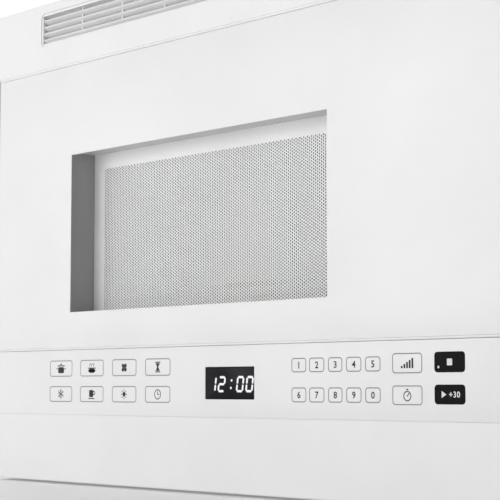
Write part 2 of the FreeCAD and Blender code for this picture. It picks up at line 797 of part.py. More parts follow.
def door_frame():
    """Moulded frame behind the glass: rim, web, window recess and hinge bosses."""
    y = (glass_back_y, cover_y[0])
    tunnel_x, tunnel_z = tunnel()
    body = block(frame_x, y, door_z)
    room = block(grow(frame_x, -door_wall), (y[0] + door_wall, y[1] + 1), grow(door_z, -door_wall))
    recess = block(tunnel_x, (y[0] - 1, y[1] + 1), tunnel_z)
    collar_wall = block(grow(tunnel_x, door_wall), (y[0], screen_y[0]), grow(tunnel_z, door_wall))
    boss_x = (door_x[0], hinge_x + 8)
    boss_y = (y[0], y[0] + 10)
    depth = pin_reach + 3
    bosses = [block(boss_x, boss_y, (door_z[0], door_z[0] + depth)),
              block(boss_x, boss_y, (door_z[1] - depth, door_z[1]))]
    pegs = [rod("y", place, (y[0], y[1]), 4.5) for place in cover_screws]
    bores = [rod("z", (hinge_x, hinge_y), (door_z[0] - 1, door_z[0] + pin_reach + 1), bush_r()),
             rod("z", (hinge_x, hinge_y), (door_z[1] - pin_reach - 1, door_z[1] + 1), bush_r())]
    bores += [rod("y", place, (y[1] - 12, y[1] + 1), screw_r + screw_gap) for place in cover_screws]
    return join(body.cut(room), collar_wall, *bosses, *pegs).cut([recess] + bores)


def hinge_bushes():
    """Nylon bushes for the two hinge pins."""
    bushes = []
    for level, side in ((door_z[0], 1), (door_z[1], -1)):
        sleeve = tuple(sorted((level, level + side * (pin_reach + 1))))
        flange = tuple(sorted((level, level - side * bush_flange_t)))
        solid = join(rod("z", (hinge_x, hinge_y), sleeve, bush_r()),
                     rod("z", (hinge_x, hinge_y), flange, bush_flange_r))
        bore = rod("z", (hinge_x, hinge_y), grow(sleeve, 4), pin_r + pin_play)
        bushes.append(solid.cut(bore))
    return group(bushes)


def hinge(level, side, screws):
    """Hinge bracket on the front plate with its pin; side +1 lies above the door."""
    near = level + side * (bush_flange_t + run_gap)
    tab_z = tuple(sorted((near, near + side * hinge_t)))
    flange_z = tuple(sorted((near, near + side * hinge_flange_h)))
    tab = rounded(block(about(hinge_x, hinge_w), (hinge_y - bush_flange_r, plate_y), tab_z), "z", 3,
                  lambda p: p.y < hinge_y)
    flange = block(about(hinge_x, hinge_w), (plate_y - sheet * 1.5, plate_y), flange_z)
    pin_z = tuple(sorted((near, level - side * pin_reach)))
    pin = rod("z", (hinge_x, hinge_y), pin_z, pin_r)
    return join(tab, flange, pin).cut(screw_holes("y", screws, (plate_y - 5, plate_y + 1)))


def door_screen():
    """Steel sheet behind the recess; its centre is perforated on the real door."""
    tunnel_x, tunnel_z = tunnel()
    return block(grow(tunnel_x, screen_lap), screen_y, grow(tunnel_z, screen_lap))


def mouth_spans():
    """Opening in the rear of the door, a little wider than the recess."""
    tunnel_x, tunnel_z = tunnel()
    return grow(tunnel_x, 4), grow(tunnel_z, 4)


def door_inner_panel():
    """Steel pan with the folded choke channel round the opening."""
    pan_x = grow(cavity_x, choke_w - rear_cover_inset)
    pan_z_span = grow(cavity_z, choke_w - rear_cover_inset - door_wall)
    y = (screen_y[1], cover_y[0])
    mouth_x, mouth_z = mouth_spans()
    pan = block(pan_x, y, pan_z_span)
    pan = pan.cut(block(grow(pan_x, -pan_wall), (y[0] + pan_wall, y[1] + 1), grow(pan_z_span, -pan_wall)))
    collar_wall = block(grow(mouth_x, pan_wall), y, grow(mouth_z, pan_wall))
    return join(pan, collar_wall).cut(block(mouth_x, grow(y, 1), mouth_z))


def inner_window():
    """Clear film against the screen, on the oven side."""
    mouth_x, mouth_z = mouth_spans()
    y = (screen_y[1], screen_y[1] + film_t)
    return block(grow(mouth_x, -display_gap), y, grow(mouth_z, -display_gap))


def door_rear_cover():
    """Moulded cover over choke and latch, with guides and a spring seat for the latch bar."""
    x = (door_x[0] + 2 * rear_cover_inset, door_x[1] - rear_cover_inset)
    z = grow(door_z, -rear_cover_inset)
    cover = rounded_block(x, cover_y, z, "y", 4)
    edges = [edge for edge in cover.Edges if edge.CenterOfMass.y > cover_y[1] - 0.01]
    cover = cover.makeChamfer(1.2, edges)
    mouth_x, mouth_z = mouth_spans()
    cuts = [rounded_block(mouth_x, grow(cover_y, 6), mouth_z, "y", 1)]
    cuts += hook_slots(grow(cover_y, 1), 1.0)
    cuts += screw_holes("y", cover_screws, grow(cover_y, 1))
    cuts += [rod("y", place, (cover_y[1] - screw_head_t, cover_y[1] + 1), screw_head_r + display_gap)
             for place in cover_screws]
    guides = []
    guide_y = (cover_y[0] - latch_t - 2, cover_y[0])
    for z_low in (latch_z + 4, latch_z + latch_h - 16):
        for side in (-1, 1):
            edge = latch_x + side * (latch_w / 2 + run_gap)
            guides.append(block(tuple(sorted((edge, edge + side * 3))), guide_y, (z_low, z_low + 12)))
    seat_z = latch_z + latch_h + spring_seat
    guides.append(block(about(latch_x, latch_w), (spring_y() - spring_r - 1, cover_y[0]),
                        (seat_z, seat_z + 3)))
    return join(cover.cut(cuts), *guides)


def door_grip():
    """Right end of the door: a full-height finger channel that runs in behind the glass."""
    x = (frame_x[1], door_x[1])
    y = (face_y, cover_y[0])
    right_front = lambda p: p.x > door_x[1] - 0.1 and p.y < face_y + 0.1
    body = rounded(block(x, y, door_z), "z", front_round, right_front)
    glass_seat = block((x[0] - 1, glass_x[1]), (y[0] - 1, glass_back_y), grow(door_z, 1))
    pocket = block((x[0] + grip_wall, x[1] - grip_rib), (y[0] - 1, face_y + grip_depth),
                   grow(door_z, -grip_wall))
    pocket = rounded(pocket, "z", 4, lambda p: p.y > face_y)
    rear = block(grow(x, -grip_wall), (face_y + grip_depth + grip_wall, y[1] + 1), grow(door_z, -grip_wall))
    rib = block((x[1] - grip_rib + grip_wall, x[1] - grip_wall), (face_y + grip_wall, y[1] + 1),
                grow(door_z, -grip_wall))
    return body.cut([glass_seat, pocket, rear, rib])


def door_latch():
    """Latch bar with two hooks that reach through the front plate."""
    bar_y = (cover_y[0] - run_gap - latch_t, cover_y[0] - run_gap)
    parts = [block(about(latch_x, latch_w), bar_y, (latch_z, latch_z + latch_h))]
    tip_y = plate_y + hook_reach
    for low in hook_lows():
        x, z = hook_spans(low)
        parts.append(block(x, (bar_y[1], tip_y), z))
        nose = prism_x([(tip_y - 10, z[0]), (tip_y, z[0]), (tip_y - 4, z[0] - hook_nose),
                        (tip_y - 8, z[0] - hook_nose)], x)
        parts.append(nose)
    top = latch_z + latch_h
    parts.append(block(about(latch_x, 2 * spring_r), (spring_y() - spring_r, bar_y[1]), (top - 6, top)))
    parts.append(rod("z", (latch_x, spring_y()), (top, top + 8), spring_r / 2))
    return join(*parts)


def spring_y():
    """Axis of the latch spring, clear of the rear cover."""
    return cover_y[0] - run_gap - spring_r


def latch_spring():
    """Compression spring between the latch bar and its seat."""
    low = latch_z + latch_h + run_gap + spring_wire / 2
    high = latch_z + latch_h + spring_seat - run_gap - spring_wire / 2
    radius = spring_r - spring_wire / 2
    steps = spring_turns * spring_steps
    points = []
    for index in range(steps + 1):
        angle = 2 * math.pi * index / spring_steps
        points.append(Vec(latch_x + radius * math.cos(angle), spring_y() + radius * math.sin(angle),
                          low + (high - low) * index / steps))
    circle = Part.makeCircle(spring_wire / 2, points[0], points[1].sub(points[0]))
    mitred = 1
    return Part.makePolygon(points).makePipeShell([Part.Wire([circle])], True, False, mitred)


# ================================================================ turntable
def turntable_motor():
    """Flat gear motor under the cavity floor."""
    z = (cavity_z[0] - sheet - motor_h, cavity_z[0] - sheet)
    body = rod("z", (table_x, table_y), z, motor_r)
    ears = block(about(table_x, 2 * motor_r + 16), about(table_y, 12), (z[1] - 1.5, z[1]))
    bore = rod("z", (table_x, table_y), (z[0] + 4, z[1] + 1), coupler_r + pin_play)
    return join(body, ears).cut(bore)


def tray_coupler():
    """Shaft of the motor with the three-lobed driver under the tray."""
    shaft_z = (cavity_z[0] - sheet - motor_h + 4 + run_gap, cavity_z[0] + run_gap)
    centre = (table_x, table_y)
    hub_z = (shaft_z[1], tray_z - run_gap)
    parts = [rod("z", centre, shaft_z, coupler_r), rod("z", centre, hub_z, 9)]
    arm = block((table_x, table_x + lobe_reach), about(table_y, lobe_w), (hub_z[1] - 8, hub_z[1]))
    for index in range(3):
        parts.append(turned(arm, Vec(table_x, table_y, 0), Vec(0, 0, 1), index * 120))
    return join(*parts)


def glass_tray():
    """Glass tray with a raised rim and three lugs between the lobes of the driver."""
    top = tray_z + tray_t
    rim_top = tray_z + tray_rise
    outline = [(0, tray_z), (tray_r - tray_rim, tray_z), (tray_r, rim_top - 4), (tray_r, rim_top),
               (tray_r - 3, rim_top), (tray_r - tray_rim - 2, top), (0, top)]
    tray = spun_z(outline, (table_x, table_y))
    lug = block((table_x + 12, table_x + lobe_reach + 2), about(table_y, 6), (tray_z - 4, tray_z))
    lugs = [turned(lug, Vec(table_x, table_y, 0), Vec(0, 0, 1), 60 + index * 120) for index in range(3)]
    return join(tray, *lugs)


def roller_ring():
    """Ring with three stub axles, carried by its rollers."""
    centre = (table_x, table_y)
    ring_out = roller_path_r - roller_w / 2 - run_gap
    ring = tube("z", centre, about(roller_z, ring_h), ring_out, ring_out - ring_w)
    head_start = table_x + roller_path_r + roller_w / 2 + run_gap
    axle = join(rod("x", (table_y, roller_z), (table_x + ring_out - 2, head_start), axle_r),
                rod("x", (table_y, roller_z), (head_start, head_start + 1.2), axle_r * 1.6))
    axles = [turned(axle, Vec(table_x, table_y, roller_z), Vec(0, 0, 1), index * 120) for index in range(3)]
    return join(ring, *axles)


def roller(index):
    """One roller on its stub axle."""
    span = about(table_x + roller_path_r, roller_w)
    wheel = rod("x", (table_y, roller_z), span, roller_r)
    groove = tube("x", (table_y, roller_z), (span[0] + 2.5, span[1] - 2.5), roller_r + 1, roller_r - 1.2)
    bore = rod("x", (table_y, roller_z), grow(span, 1), axle_r + pin_play)
    solid = wheel.cut([groove, bore])
    return turned(solid, Vec(table_x, table_y, roller_z), Vec(0, 0, 1), index * 120)


# ================================================================ air system
def chamber_spans():
    """X spans of the two wheel chambers."""
    return [(-blower_half_gap - blower_w, -blower_half_gap), (blower_half_gap, blower_half_gap + blower_w)]


def vent_blower_housing():
    """Two scroll housings that blow up into the collar."""
    housings = []
    centre = (blower_y, blower_z)
    for x in chamber_spans():
        outer = join(rod("x", centre, x, blower_r),
                     block(x, about(blower_y, 2 * blower_r), (blower_z, top_z[1])))
        inner_span = grow(x, -blower_wall)
        inner_r = blower_r - blower_wall
        inner = join(rod("x", centre, inner_span, inner_r),
                     block(inner_span, about(blower_y, 2 * inner_r), (blower_z, top_z[1] + 1)))
        inlet = rod("x", centre, grow(x, 1), blower_r * 0.55)
        foot = block(x, about(blower_y, blower_r), (top_z[0], top_z[0] + 6))
        housings.append(join(outer, foot).cut([inner, inlet]))
    return group(housings)


def vent_motor():
    """Blower motor in its cradle on the roof of the cavity."""
    centre = (blower_y, blower_z)
    body = rod("x", centre, (-blower_motor_half, blower_motor_half), blower_motor_r)
    cradle = block(about(0, blower_motor_half), about(blower_y, blower_motor_r * 1.4),
                   (top_z[0], blower_z - blower_motor_r * 0.6))
    return join(body, cradle).cut(rod("x", centre, (-case_w, case_w), coupler_r + pin_play))


def vent_wheel(x):
    """Squirrel cage: hub disc, ring of blades, end ring."""
    centre = (blower_y, blower_z)
    outer = blower_r - blower_wall - wheel_gap
    inner = outer - wheel_ring
    near, far = (x[0], x[1]) if x[0] > 0 else (x[1], x[0])
    inward = 1 if x[0] > 0 else -1
    disc_x = tuple(sorted((near, near + inward * 2)))
    ring_x = tuple(sorted((far, far - inward * 2)))
    parts = [rod("x", centre, disc_x, outer), tube("x", centre, ring_x, outer, inner)]
    blade = block(x, about(blower_y, 0.9), (blower_z + inner + 0.5, blower_z + outer - 0.4))
    blade = turned(blade, Vec(0, blower_y, blower_z + outer - 0.4), Vec(1, 0, 0), 25)
    for index in range(wheel_blades):
        parts.append(turned(blade, Vec(0, blower_y, blower_z), Vec(1, 0, 0), index * 360 / wheel_blades))
    return parts


def vent_wheels():
    """Both wheels on one shaft."""
    parts = []
    for x in chamber_spans():
        parts += vent_wheel(grow(x, -blower_wall - wheel_gap))
    reach = blower_half_gap + blower_w - blower_wall - wheel_gap
    shaft = rod("x", (blower_y, blower_z), (-reach, reach), coupler_r)
    return join(shaft, *parts)


def exhaust_collar():
    """Duct collar on the roof, with a ledge that the damper closes on."""
    x = about(0, collar_w)
    z = (case_h, case_h + collar_h)
    walls = block(x, collar_y, z)
    flange = block(grow(x, collar_flange), grow(collar_y, 3), (case_h, case_h + sheet))
    room = block(grow(x, -sheet), grow(collar_y, -sheet), grow(z, 1))
    level = case_h + damper_rise
    ledge = block(about(0, 40), (collar_y[0], collar_y[0] + 5), (level - damper_t / 2 - run_gap - 1.5,
                                                                 level - damper_t / 2 - run_gap))
    pivot = rod("x", damper_axis(), grow(x, 2), damper_r + pin_play)
    solid = join(join(walls, flange).cut(room), ledge)
    return solid.cut([pivot] + screw_holes("z", collar_screws, (case_h - 1, case_h + 3)))


def damper_axis():
    """Y and Z of the damper's axle."""
    return (collar_y[1] - sheet - damper_r - 2.3, case_h + damper_rise)


def damper_flap():
    """Back-draught flap on its axle."""
    y, z = damper_axis()
    axle = rod("x", (y, z), grow(about(0, collar_w), 0.5), damper_r)
    flap = block(grow(about(0, collar_w), -sheet - 0.8), (collar_y[0] + sheet + 1.5, y), about(z, damper_t))
    return join(axle, flap)


def bolt_brackets():
    """Two nut plates under the roof for the cabinet bolts."""
    plates = []
    for x, y in bolt_places():
        plate = block(about(x, nut_plate_w), about(y, nut_plate_w), (roof_z - 2, roof_z))
        nut = rod("z", (x, y), (roof_z - 10, roof_z - 2), 9)
        plates.append(join(plate, nut).cut(rod("z", (x, y), (roof_z - 12, roof_z + 1), bolt_hole_r)))
    return group(plates)


def cord_gland():
    """Moulded gland in the roof where the supply cord leaves."""
    place = gland_place()
    neck = rod("z", place, (roof_z - 8, case_h), gland_r - screw_gap)
    collar = rod("z", place, (case_h, case_h + 5), gland_r + 3)
    nut = rod("z", place, (roof_z - 6, roof_z), gland_r + 3)
    return join(neck, collar, nut).cut(rod("z", place, (roof_z - 20, case_h + 20), gland_bore_r))


# ================================================================ component bay
def waveguide():
    """Folded steel duct on the right wall of the cavity."""
    x, y, z = guide_spans()
    body = block(x, y, z).cut(block((x[0] - 1, x[1] - sheet), grow(y, -sheet), grow(z, -sheet)))
    return body.cut(rod("x", antenna_axis(), grow((x[1] - sheet, x[1]), 1), 12))


def antenna_axis():
    """Y and Z of the magnetron's antenna."""
    _, y, z = guide_spans()
    return (sum(y) / 2, z[1] - 30)


def waveguide_cover():
    """Mica sheet over the port, inside the cavity."""
    port_y, port_z = port_spans()
    return rounded_block((cavity_x[1] - 0.5, cavity_x[1]), grow(port_y, 6), grow(port_z, 6), "x", 3)


def magnetron():
    """Magnetron: yoke, cooling fins on the anode, antenna and filter box."""
    y0, z0 = antenna_axis()
    x0 = guide_spans()[0][1]
    yoke_x = (x0, x0 + magnetron_l)
    yoke_y = about(y0, magnetron_w)
    yoke_z = about(z0, magnetron_h)
    yoke = block(yoke_x, yoke_y, yoke_z).cut(block(grow(yoke_x, -2), grow(yoke_y, -2), grow(yoke_z, 1)))
    anode = rod("x", (y0, z0), grow(yoke_x, -1), 18)
    antenna = rod("x", (y0, z0), (x0 - 16, x0 + 1), 7)
    box = block((yoke_x[1], yoke_x[1] + 34), about(y0, 50), about(z0, 50))
    fins = []
    pitch = (magnetron_l - 20) / magnetron_fins
    for index in range(magnetron_fins):
        x = yoke_x[0] + 10 + (index + 0.5) * pitch
        fins.append(block(about(x, fin_t), grow(yoke_y, -1), grow(yoke_z, -4)))
    return join(yoke, anode, antenna, box, *fins)


def hv_transformer():
    """Laminated core with two windings on its middle limb."""
    x = (bay_x[0] + core_in, bay_x[0] + core_in + core_w)
    y = (bulkhead_y[0] - core_front - core_l, bulkhead_y[0] - core_front)
    z = (bay_top_z, bay_top_z + core_h)
    core = block(x, y, z)
    limb = core_w / 4
    for side in (-1, 1):
        slot_x = about(sum(x) / 2 + side * limb * 0.9, limb * 0.8)
        core = core.cut(block(slot_x, grow(y, 1), grow(z, -limb / 2)))
    parts = [core]
    middle = sum(z) / 2
    for z_span in ((z[0] + limb / 2 + 2, middle - 2), (middle + 2, z[1] - limb / 2 - 2)):
        coil = rounded_block(grow(about(sum(x) / 2, limb), limb * 0.7), grow(y, 12), z_span, "z", 9)
        parts.append(coil)
    feet = block(grow(x, 8), grow(y, -6), (z[0], z[0] + 2))
    return join(*parts, feet)


def hv_capacitor():
    """Oval high-voltage capacitor with two terminals and its strap."""
    x = (bay_x[0] + 8, bay_x[0] + 8 + can_w)
    y = (bulkhead_y[0] - core_front - can_l, bulkhead_y[0] - core_front)
    z = (bay_top_z, bay_top_z + can_h)
    can = rounded_block(x, y, z, "z", can_w / 2 - 0.5)
    tab_x = about(sum(x) / 2, 6)
    tabs = [block(tab_x, about(sum(y) / 2 + side * 12, 1), (z[1], z[1] + 9)) for side in (-1, 1)]
    strap = rounded_block(grow(x, 1), grow(y, 1), about(z[0] + can_h / 2, 12), "z", can_w / 2)
    return join(can, strap, *tabs)


def fan_axis():
    """X and Z of the cooling fan."""
    return (sum(bay_x) / 2, (bay_top_z + roof_z) / 2)


def cooling_fan_shroud():
    """Bulkhead across the bay with the fan's ring and three motor arms."""
    ring_y = (bulkhead_y[0], bulkhead_y[1] + fan_ring_l)
    axis = fan_axis()
    plate = block(bay_x, bulkhead_y, (bay_top_z, roof_z))
    plate = rounded(plate, "y", case_bend, lambda p: p.z > case_h / 2 and p.x > axis[0])
    throat = fan_r + fan_tip_gap
    ring = rod("y", axis, ring_y, throat + 2)
    solid = join(plate, ring).cut(rod("y", axis, grow(ring_y, 1), throat))
    motor_y = (bulkhead_y[0] - fan_motor_gap - fan_motor_l, bulkhead_y[0] - fan_motor_gap)
    arms = []
    for index in range(3):
        arm = block(about(axis[0], 8), (bulkhead_y[0] - 3, bulkhead_y[0]),
                    (axis[1] + fan_motor_r * 0.5, axis[1] + throat + 6))
        leg = block(about(axis[0], 8), (motor_y[1], bulkhead_y[0] - 3),
                    (axis[1] + fan_motor_r * 0.5, axis[1] + fan_motor_r))
        arms.append(turned(join(arm, leg), Vec(axis[0], 0, axis[1]), Vec(0, 1, 0), index * 120))
    return join(solid, *arms)


def cooling_fan_motor():
    """Small motor held in front of the bulkhead."""
    axis = fan_axis()
    y = (bulkhead_y[0] - fan_motor_gap - fan_motor_l, bulkhead_y[0] - fan_motor_gap)
    return rod("y", axis, y, fan_motor_r).cut(rod("y", axis, (y[0] + 4, y[1] + 1), axle_r + 1 + pin_play))


def cooling_fan():
    """Axial fan with its shaft."""
    axis = fan_axis()
    hub_y = (bulkhead_y[1] + 1, bulkhead_y[1] + 1 + fan_hub_l)
    shaft_start = bulkhead_y[0] - fan_motor_gap - fan_motor_l * 0.75
    shaft = rod("y", axis, (shaft_start, hub_y[1]), axle_r + 1)
    hub = rod("y", axis, hub_y, 15)
    blade = block(about(axis[0], 22), about(sum(hub_y) / 2, 1.6), (axis[1] + 13, axis[1] + fan_r - 3))
    blade = turned(blade, Vec(axis[0], sum(hub_y) / 2, axis[1]), Vec(0, 0, 1), 32)
    blades = [turned(blade, Vec(axis[0], 0, axis[1]), Vec(0, 1, 0), index * 360 / fan_blades)
              for index in range(fan_blades)]
    return join(hub, shaft, *blades)


def cavity_lamp():
    """Oven lamp in a bracket on the right wall of the cavity."""
    y0 = cavity_y[0] + 60
    z0 = cavity_z[1] - 40
    plate = block((bay_x[0], bay_x[0] + 1.2), about(y0, lamp_plate_w), about(z0, lamp_plate_h))
    holder = rod("x", (y0, z0), (bay_x[0] + 1.2, bay_x[0] + 26), 12)
    bulb = rod("x", (y0, z0), (bay_x[0] + 26, bay_x[0] + 34), 8)
    return join(plate, holder, bulb)


def interlock_bracket():
    """Moulded bracket beside the latch slots that carries the door switches."""
    wall_x = latch_x + hook_w / 2 + swing_room + switch_gap
    x = (wall_x, wall_x + bracket_t)
    y = (plate_back_y, plate_back_y + bracket_l)
    lows = hook_lows()
    z = (lows[0] - 14, lows[1] + hook_h + 18)
    wall = block(x, y, z)
    foot = block((x[0], x[1] + 12), (y[0], y[0] + 3), z)
    return join(wall, foot)


def interlock_switches():
    """Three door switches, each with its plunger behind a hook."""
    wall_x = latch_x + hook_w / 2 + swing_room + switch_gap
    tip_y = plate_y + hook_reach + run_gap
    lows = hook_lows()
    switches = []
    for z_low in (lows[0] - 7, lows[1] - 7, lows[1] + 8):
        body = block((wall_x - 14, wall_x), (tip_y + 4, tip_y + 24), (z_low, z_low + 12))
        plunger = block(about(wall_x - 9, 3), (tip_y, tip_y + 4), about(z_low + 6, 3))
        switches.append(join(body, plunger))
    return group(switches)


# ================================================================ fasteners
def cabinet_screws():
    """Screws of hinges, collar, grille and back panel."""
    screws = [screw("y", place, plate_y - sheet * 1.5, sheet * 1.5 + 6, -1)
              for place in hinge_screws_low + hinge_screws_high]
    screws += [screw("z", place, case_h + sheet, sheet + 5, 1) for place in collar_screws]
    screws += [screw("y", place, face_y + moulding + 8, 7, 1) for place in grille_screws]
    screws += [screw("y", place, back_y, sheet, -1) for place in back_screws]
    return group(screws)


def door_screws():
    """Screws that hold the rear cover to the frame."""
    return group([screw("y", place, cover_y[1] - screw_head_t, 9, 1) for place in cover_screws])


# ================================================================ all sub-parts
SUBPARTS = {
    "wall_plate": wall_plate,
    "back_panel": back_panel,
    "outer_case": outer_case,
    "base_pan": base_pan,
    "bay_floor": bay_floor,
    "cavity": cavity,
    "front_plate": front_plate,
    "front_bezel": front_bezel,
    "vent_grille": vent_grille,
    "charcoal_filter": charcoal_filter,
    "control_panel": control_panel,
    "keypad_overlay": keypad_overlay,
    "keypad_circuit": keypad_circuit,
    "display_window": display_window,
    "display_module": display_module,
    "control_board": control_board,
    "magnetron": magnetron,
    "waveguide": waveguide,
    "waveguide_cover": waveguide_cover,
    "hv_transformer": hv_transformer,
    "hv_capacitor": hv_capacitor,
    "cooling_fan_shroud": cooling_fan_shroud,
    "cooling_fan_motor": cooling_fan_motor,
    "cooling_fan": cooling_fan,
    "cavity_lamp": cavity_lamp,
    "turntable_motor": turntable_motor,
    "vent_blower_housing": vent_blower_housing,
    "vent_motor": vent_motor,
    "vent_wheels": vent_wheels,
    "exhaust_collar": exhaust_collar,
    "damper_flap": damper_flap,
    "cooktop_lamps": cooktop_lamps,
    "lamp_lenses": lamp_lenses,
    "cord_gland": cord_gland,
    "bolt_brackets": bolt_brackets,
    "interlock_bracket": interlock_bracket,
    "interlock_switches": interlock_switches,
    "upper_hinge": lambda: hinge(door_z[1], 1, hinge_screws_high),
    "lower_hinge": lambda: hinge(door_z[0], -1, hinge_screws_low),
    "cabinet_screws": cabinet_screws,
    "door_glass": door_glass,
    "door_frame": door_frame,
    "door_screen": door_screen,
    "door_inner_panel": door_inner_panel,
    "inner_window": inner_window,
    "door_rear_cover": door_rear_cover,
    "door_grip": door_grip,
    "hinge_bushes": hinge_bushes,
    "door_screws": door_screws,
    "door_latch": door_latch,
    "latch_spring": latch_spring,
    "glass_tray": glass_tray,
    "tray_coupler": tray_coupler,
    "roller_ring": roller_ring,
    "grease_filter_left": lambda: grease_filter(0),
    "grease_filter_right": lambda: grease_filter(1),
}
for number in range(3):
    SUBPARTS["roller_" + str(number + 1)] = lambda number=number: roller(number)

for name, make in SUBPARTS.items():
    save(name, make())
print(len(SUBPARTS), "sub-parts")
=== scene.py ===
"""Over the range microwave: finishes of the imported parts, and the pieces modelled here around them.

The pieces are the white door face and its pane, the perforated window screen, the lips in the seams, the coil
of the latch spring, the printed key strip and its clock, and the diamond mesh of the grease filters.
Blender works in metres; the sizes of the pieces are in millimetres.
+X is right seen from the front, +Y goes into the wall, +Z is up.
"""

import json
import logging
import math
from collections.abc import Callable, Iterator
from contextlib import contextmanager
from dataclasses import dataclass
from enum import Enum

import bmesh
import bpy
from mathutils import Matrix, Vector


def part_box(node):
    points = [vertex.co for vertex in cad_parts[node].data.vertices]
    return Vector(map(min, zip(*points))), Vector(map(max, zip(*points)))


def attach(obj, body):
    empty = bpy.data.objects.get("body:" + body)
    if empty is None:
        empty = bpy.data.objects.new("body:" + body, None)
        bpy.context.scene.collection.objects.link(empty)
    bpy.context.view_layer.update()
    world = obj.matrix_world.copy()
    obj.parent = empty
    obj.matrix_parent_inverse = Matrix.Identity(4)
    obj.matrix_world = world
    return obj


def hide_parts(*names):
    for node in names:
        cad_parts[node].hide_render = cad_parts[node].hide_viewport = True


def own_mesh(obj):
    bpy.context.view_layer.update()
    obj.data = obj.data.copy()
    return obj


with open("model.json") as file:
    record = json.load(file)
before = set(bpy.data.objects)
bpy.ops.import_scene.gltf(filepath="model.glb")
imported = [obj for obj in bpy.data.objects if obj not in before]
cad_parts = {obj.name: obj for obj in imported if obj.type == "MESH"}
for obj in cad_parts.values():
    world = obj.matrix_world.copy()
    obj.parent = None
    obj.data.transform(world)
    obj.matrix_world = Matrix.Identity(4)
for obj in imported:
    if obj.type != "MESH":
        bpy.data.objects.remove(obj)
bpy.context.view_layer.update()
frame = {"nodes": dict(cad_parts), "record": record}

Span = tuple[float, float]
Triple = tuple[float, float, float]
Colour = tuple[float, float, float, float]
Piece = bpy.types.Object

log = logging.getLogger("microwave")

MM = 0.001
UPRIGHT = (math.radians(90), 0.0, 0.0)
EVEN: Triple = (1.0, 1.0, 1.0)
SMOOTH_BELOW = math.radians(32)

# WELD is how near corners merge, in metres. TOUCH is how near places count as one, and MARGIN is how far a
# test keeps from an edge, both in mm.
WELD = 1e-5
TOUCH = 0.01
MARGIN = 0.1

# How much of a direction lies along an axis, for an edge or a face to count as along it or across it.
STRAIGHT = 0.999
MOSTLY = 0.9
HARDLY = 0.1

# The openings of the door's window and of the clock, in mm.
WINDOW_X: Span = (-191.8, 98.5)
WINDOW_Z: Span = (136.5, 264.9)
DISPLAY_X: Span = (-26.0, 26.0)
DISPLAY_Z: Span = (67.2, 90.4)


# ---- shader maths ----


@dataclass(frozen=True)
class Signal:
    """An output socket that can stand in Python expressions."""

    tree: "NodeTree"
    socket: bpy.types.NodeSocket

    def _math(self, operation: str, first: "Value", second: "Value" = 0.0) -> "Signal":
        """A Math node on two values."""
        return self.tree.add("Math", {"operation": operation}, {0: first, 1: second})

    def __add__(self, other: "Value") -> "Signal":
        """The sum."""
        return self._math("ADD", self, other)

    __radd__ = __add__

    def __sub__(self, other: "Value") -> "Signal":
        """The difference."""
        return self._math("SUBTRACT", self, other)

    def __rsub__(self, other: float) -> "Signal":
        """The difference with the number first."""
        return self._math("SUBTRACT", other, self)

    def __mul__(self, other: "Value") -> "Signal":
        """The product."""
        return self._math("MULTIPLY", self, other)

    __rmul__ = __mul__

    def __gt__(self, other: "Value") -> "Signal":
        """1 where this is greater, else 0."""
        return self._math("GREATER_THAN", self, other)

    def __lt__(self, other: "Value") -> "Signal":
        """1 where this is less, else 0."""
        return self._math("LESS_THAN", self, other)

    def most(self, other: "Value") -> "Signal":
        """The greater of the two."""
        return self._math("MAXIMUM", self, other)

    def size(self) -> "Signal":
        """The value without its sign."""
        return self._math("ABSOLUTE", self)

    def wave(self) -> "Signal":
        """The sine, moved to run from 0 to 1."""
        return self._math("SINE", self) * 0.5 + 0.5

    def step(self, low: float, high: float) -> "Signal":
        """Runs smoothly from 0 at low to 1 at high."""
        settings = {"interpolation_type": "SMOOTHSTEP"}
        return self.tree.add("MapRange", settings, {"Value": self, "From Min": low, "From Max": high})

    def twin(self, name: str) -> "Signal":
        """Another output of the same node."""
        return Signal(self.tree, self.socket.node.outputs[name])

    def lot(self) -> "Signal":
        """The random value of each cell, where this is the output of cells."""
        return self.tree.add("SeparateColor", inputs={"Color": self.twin("Color")})


Value = Signal | float


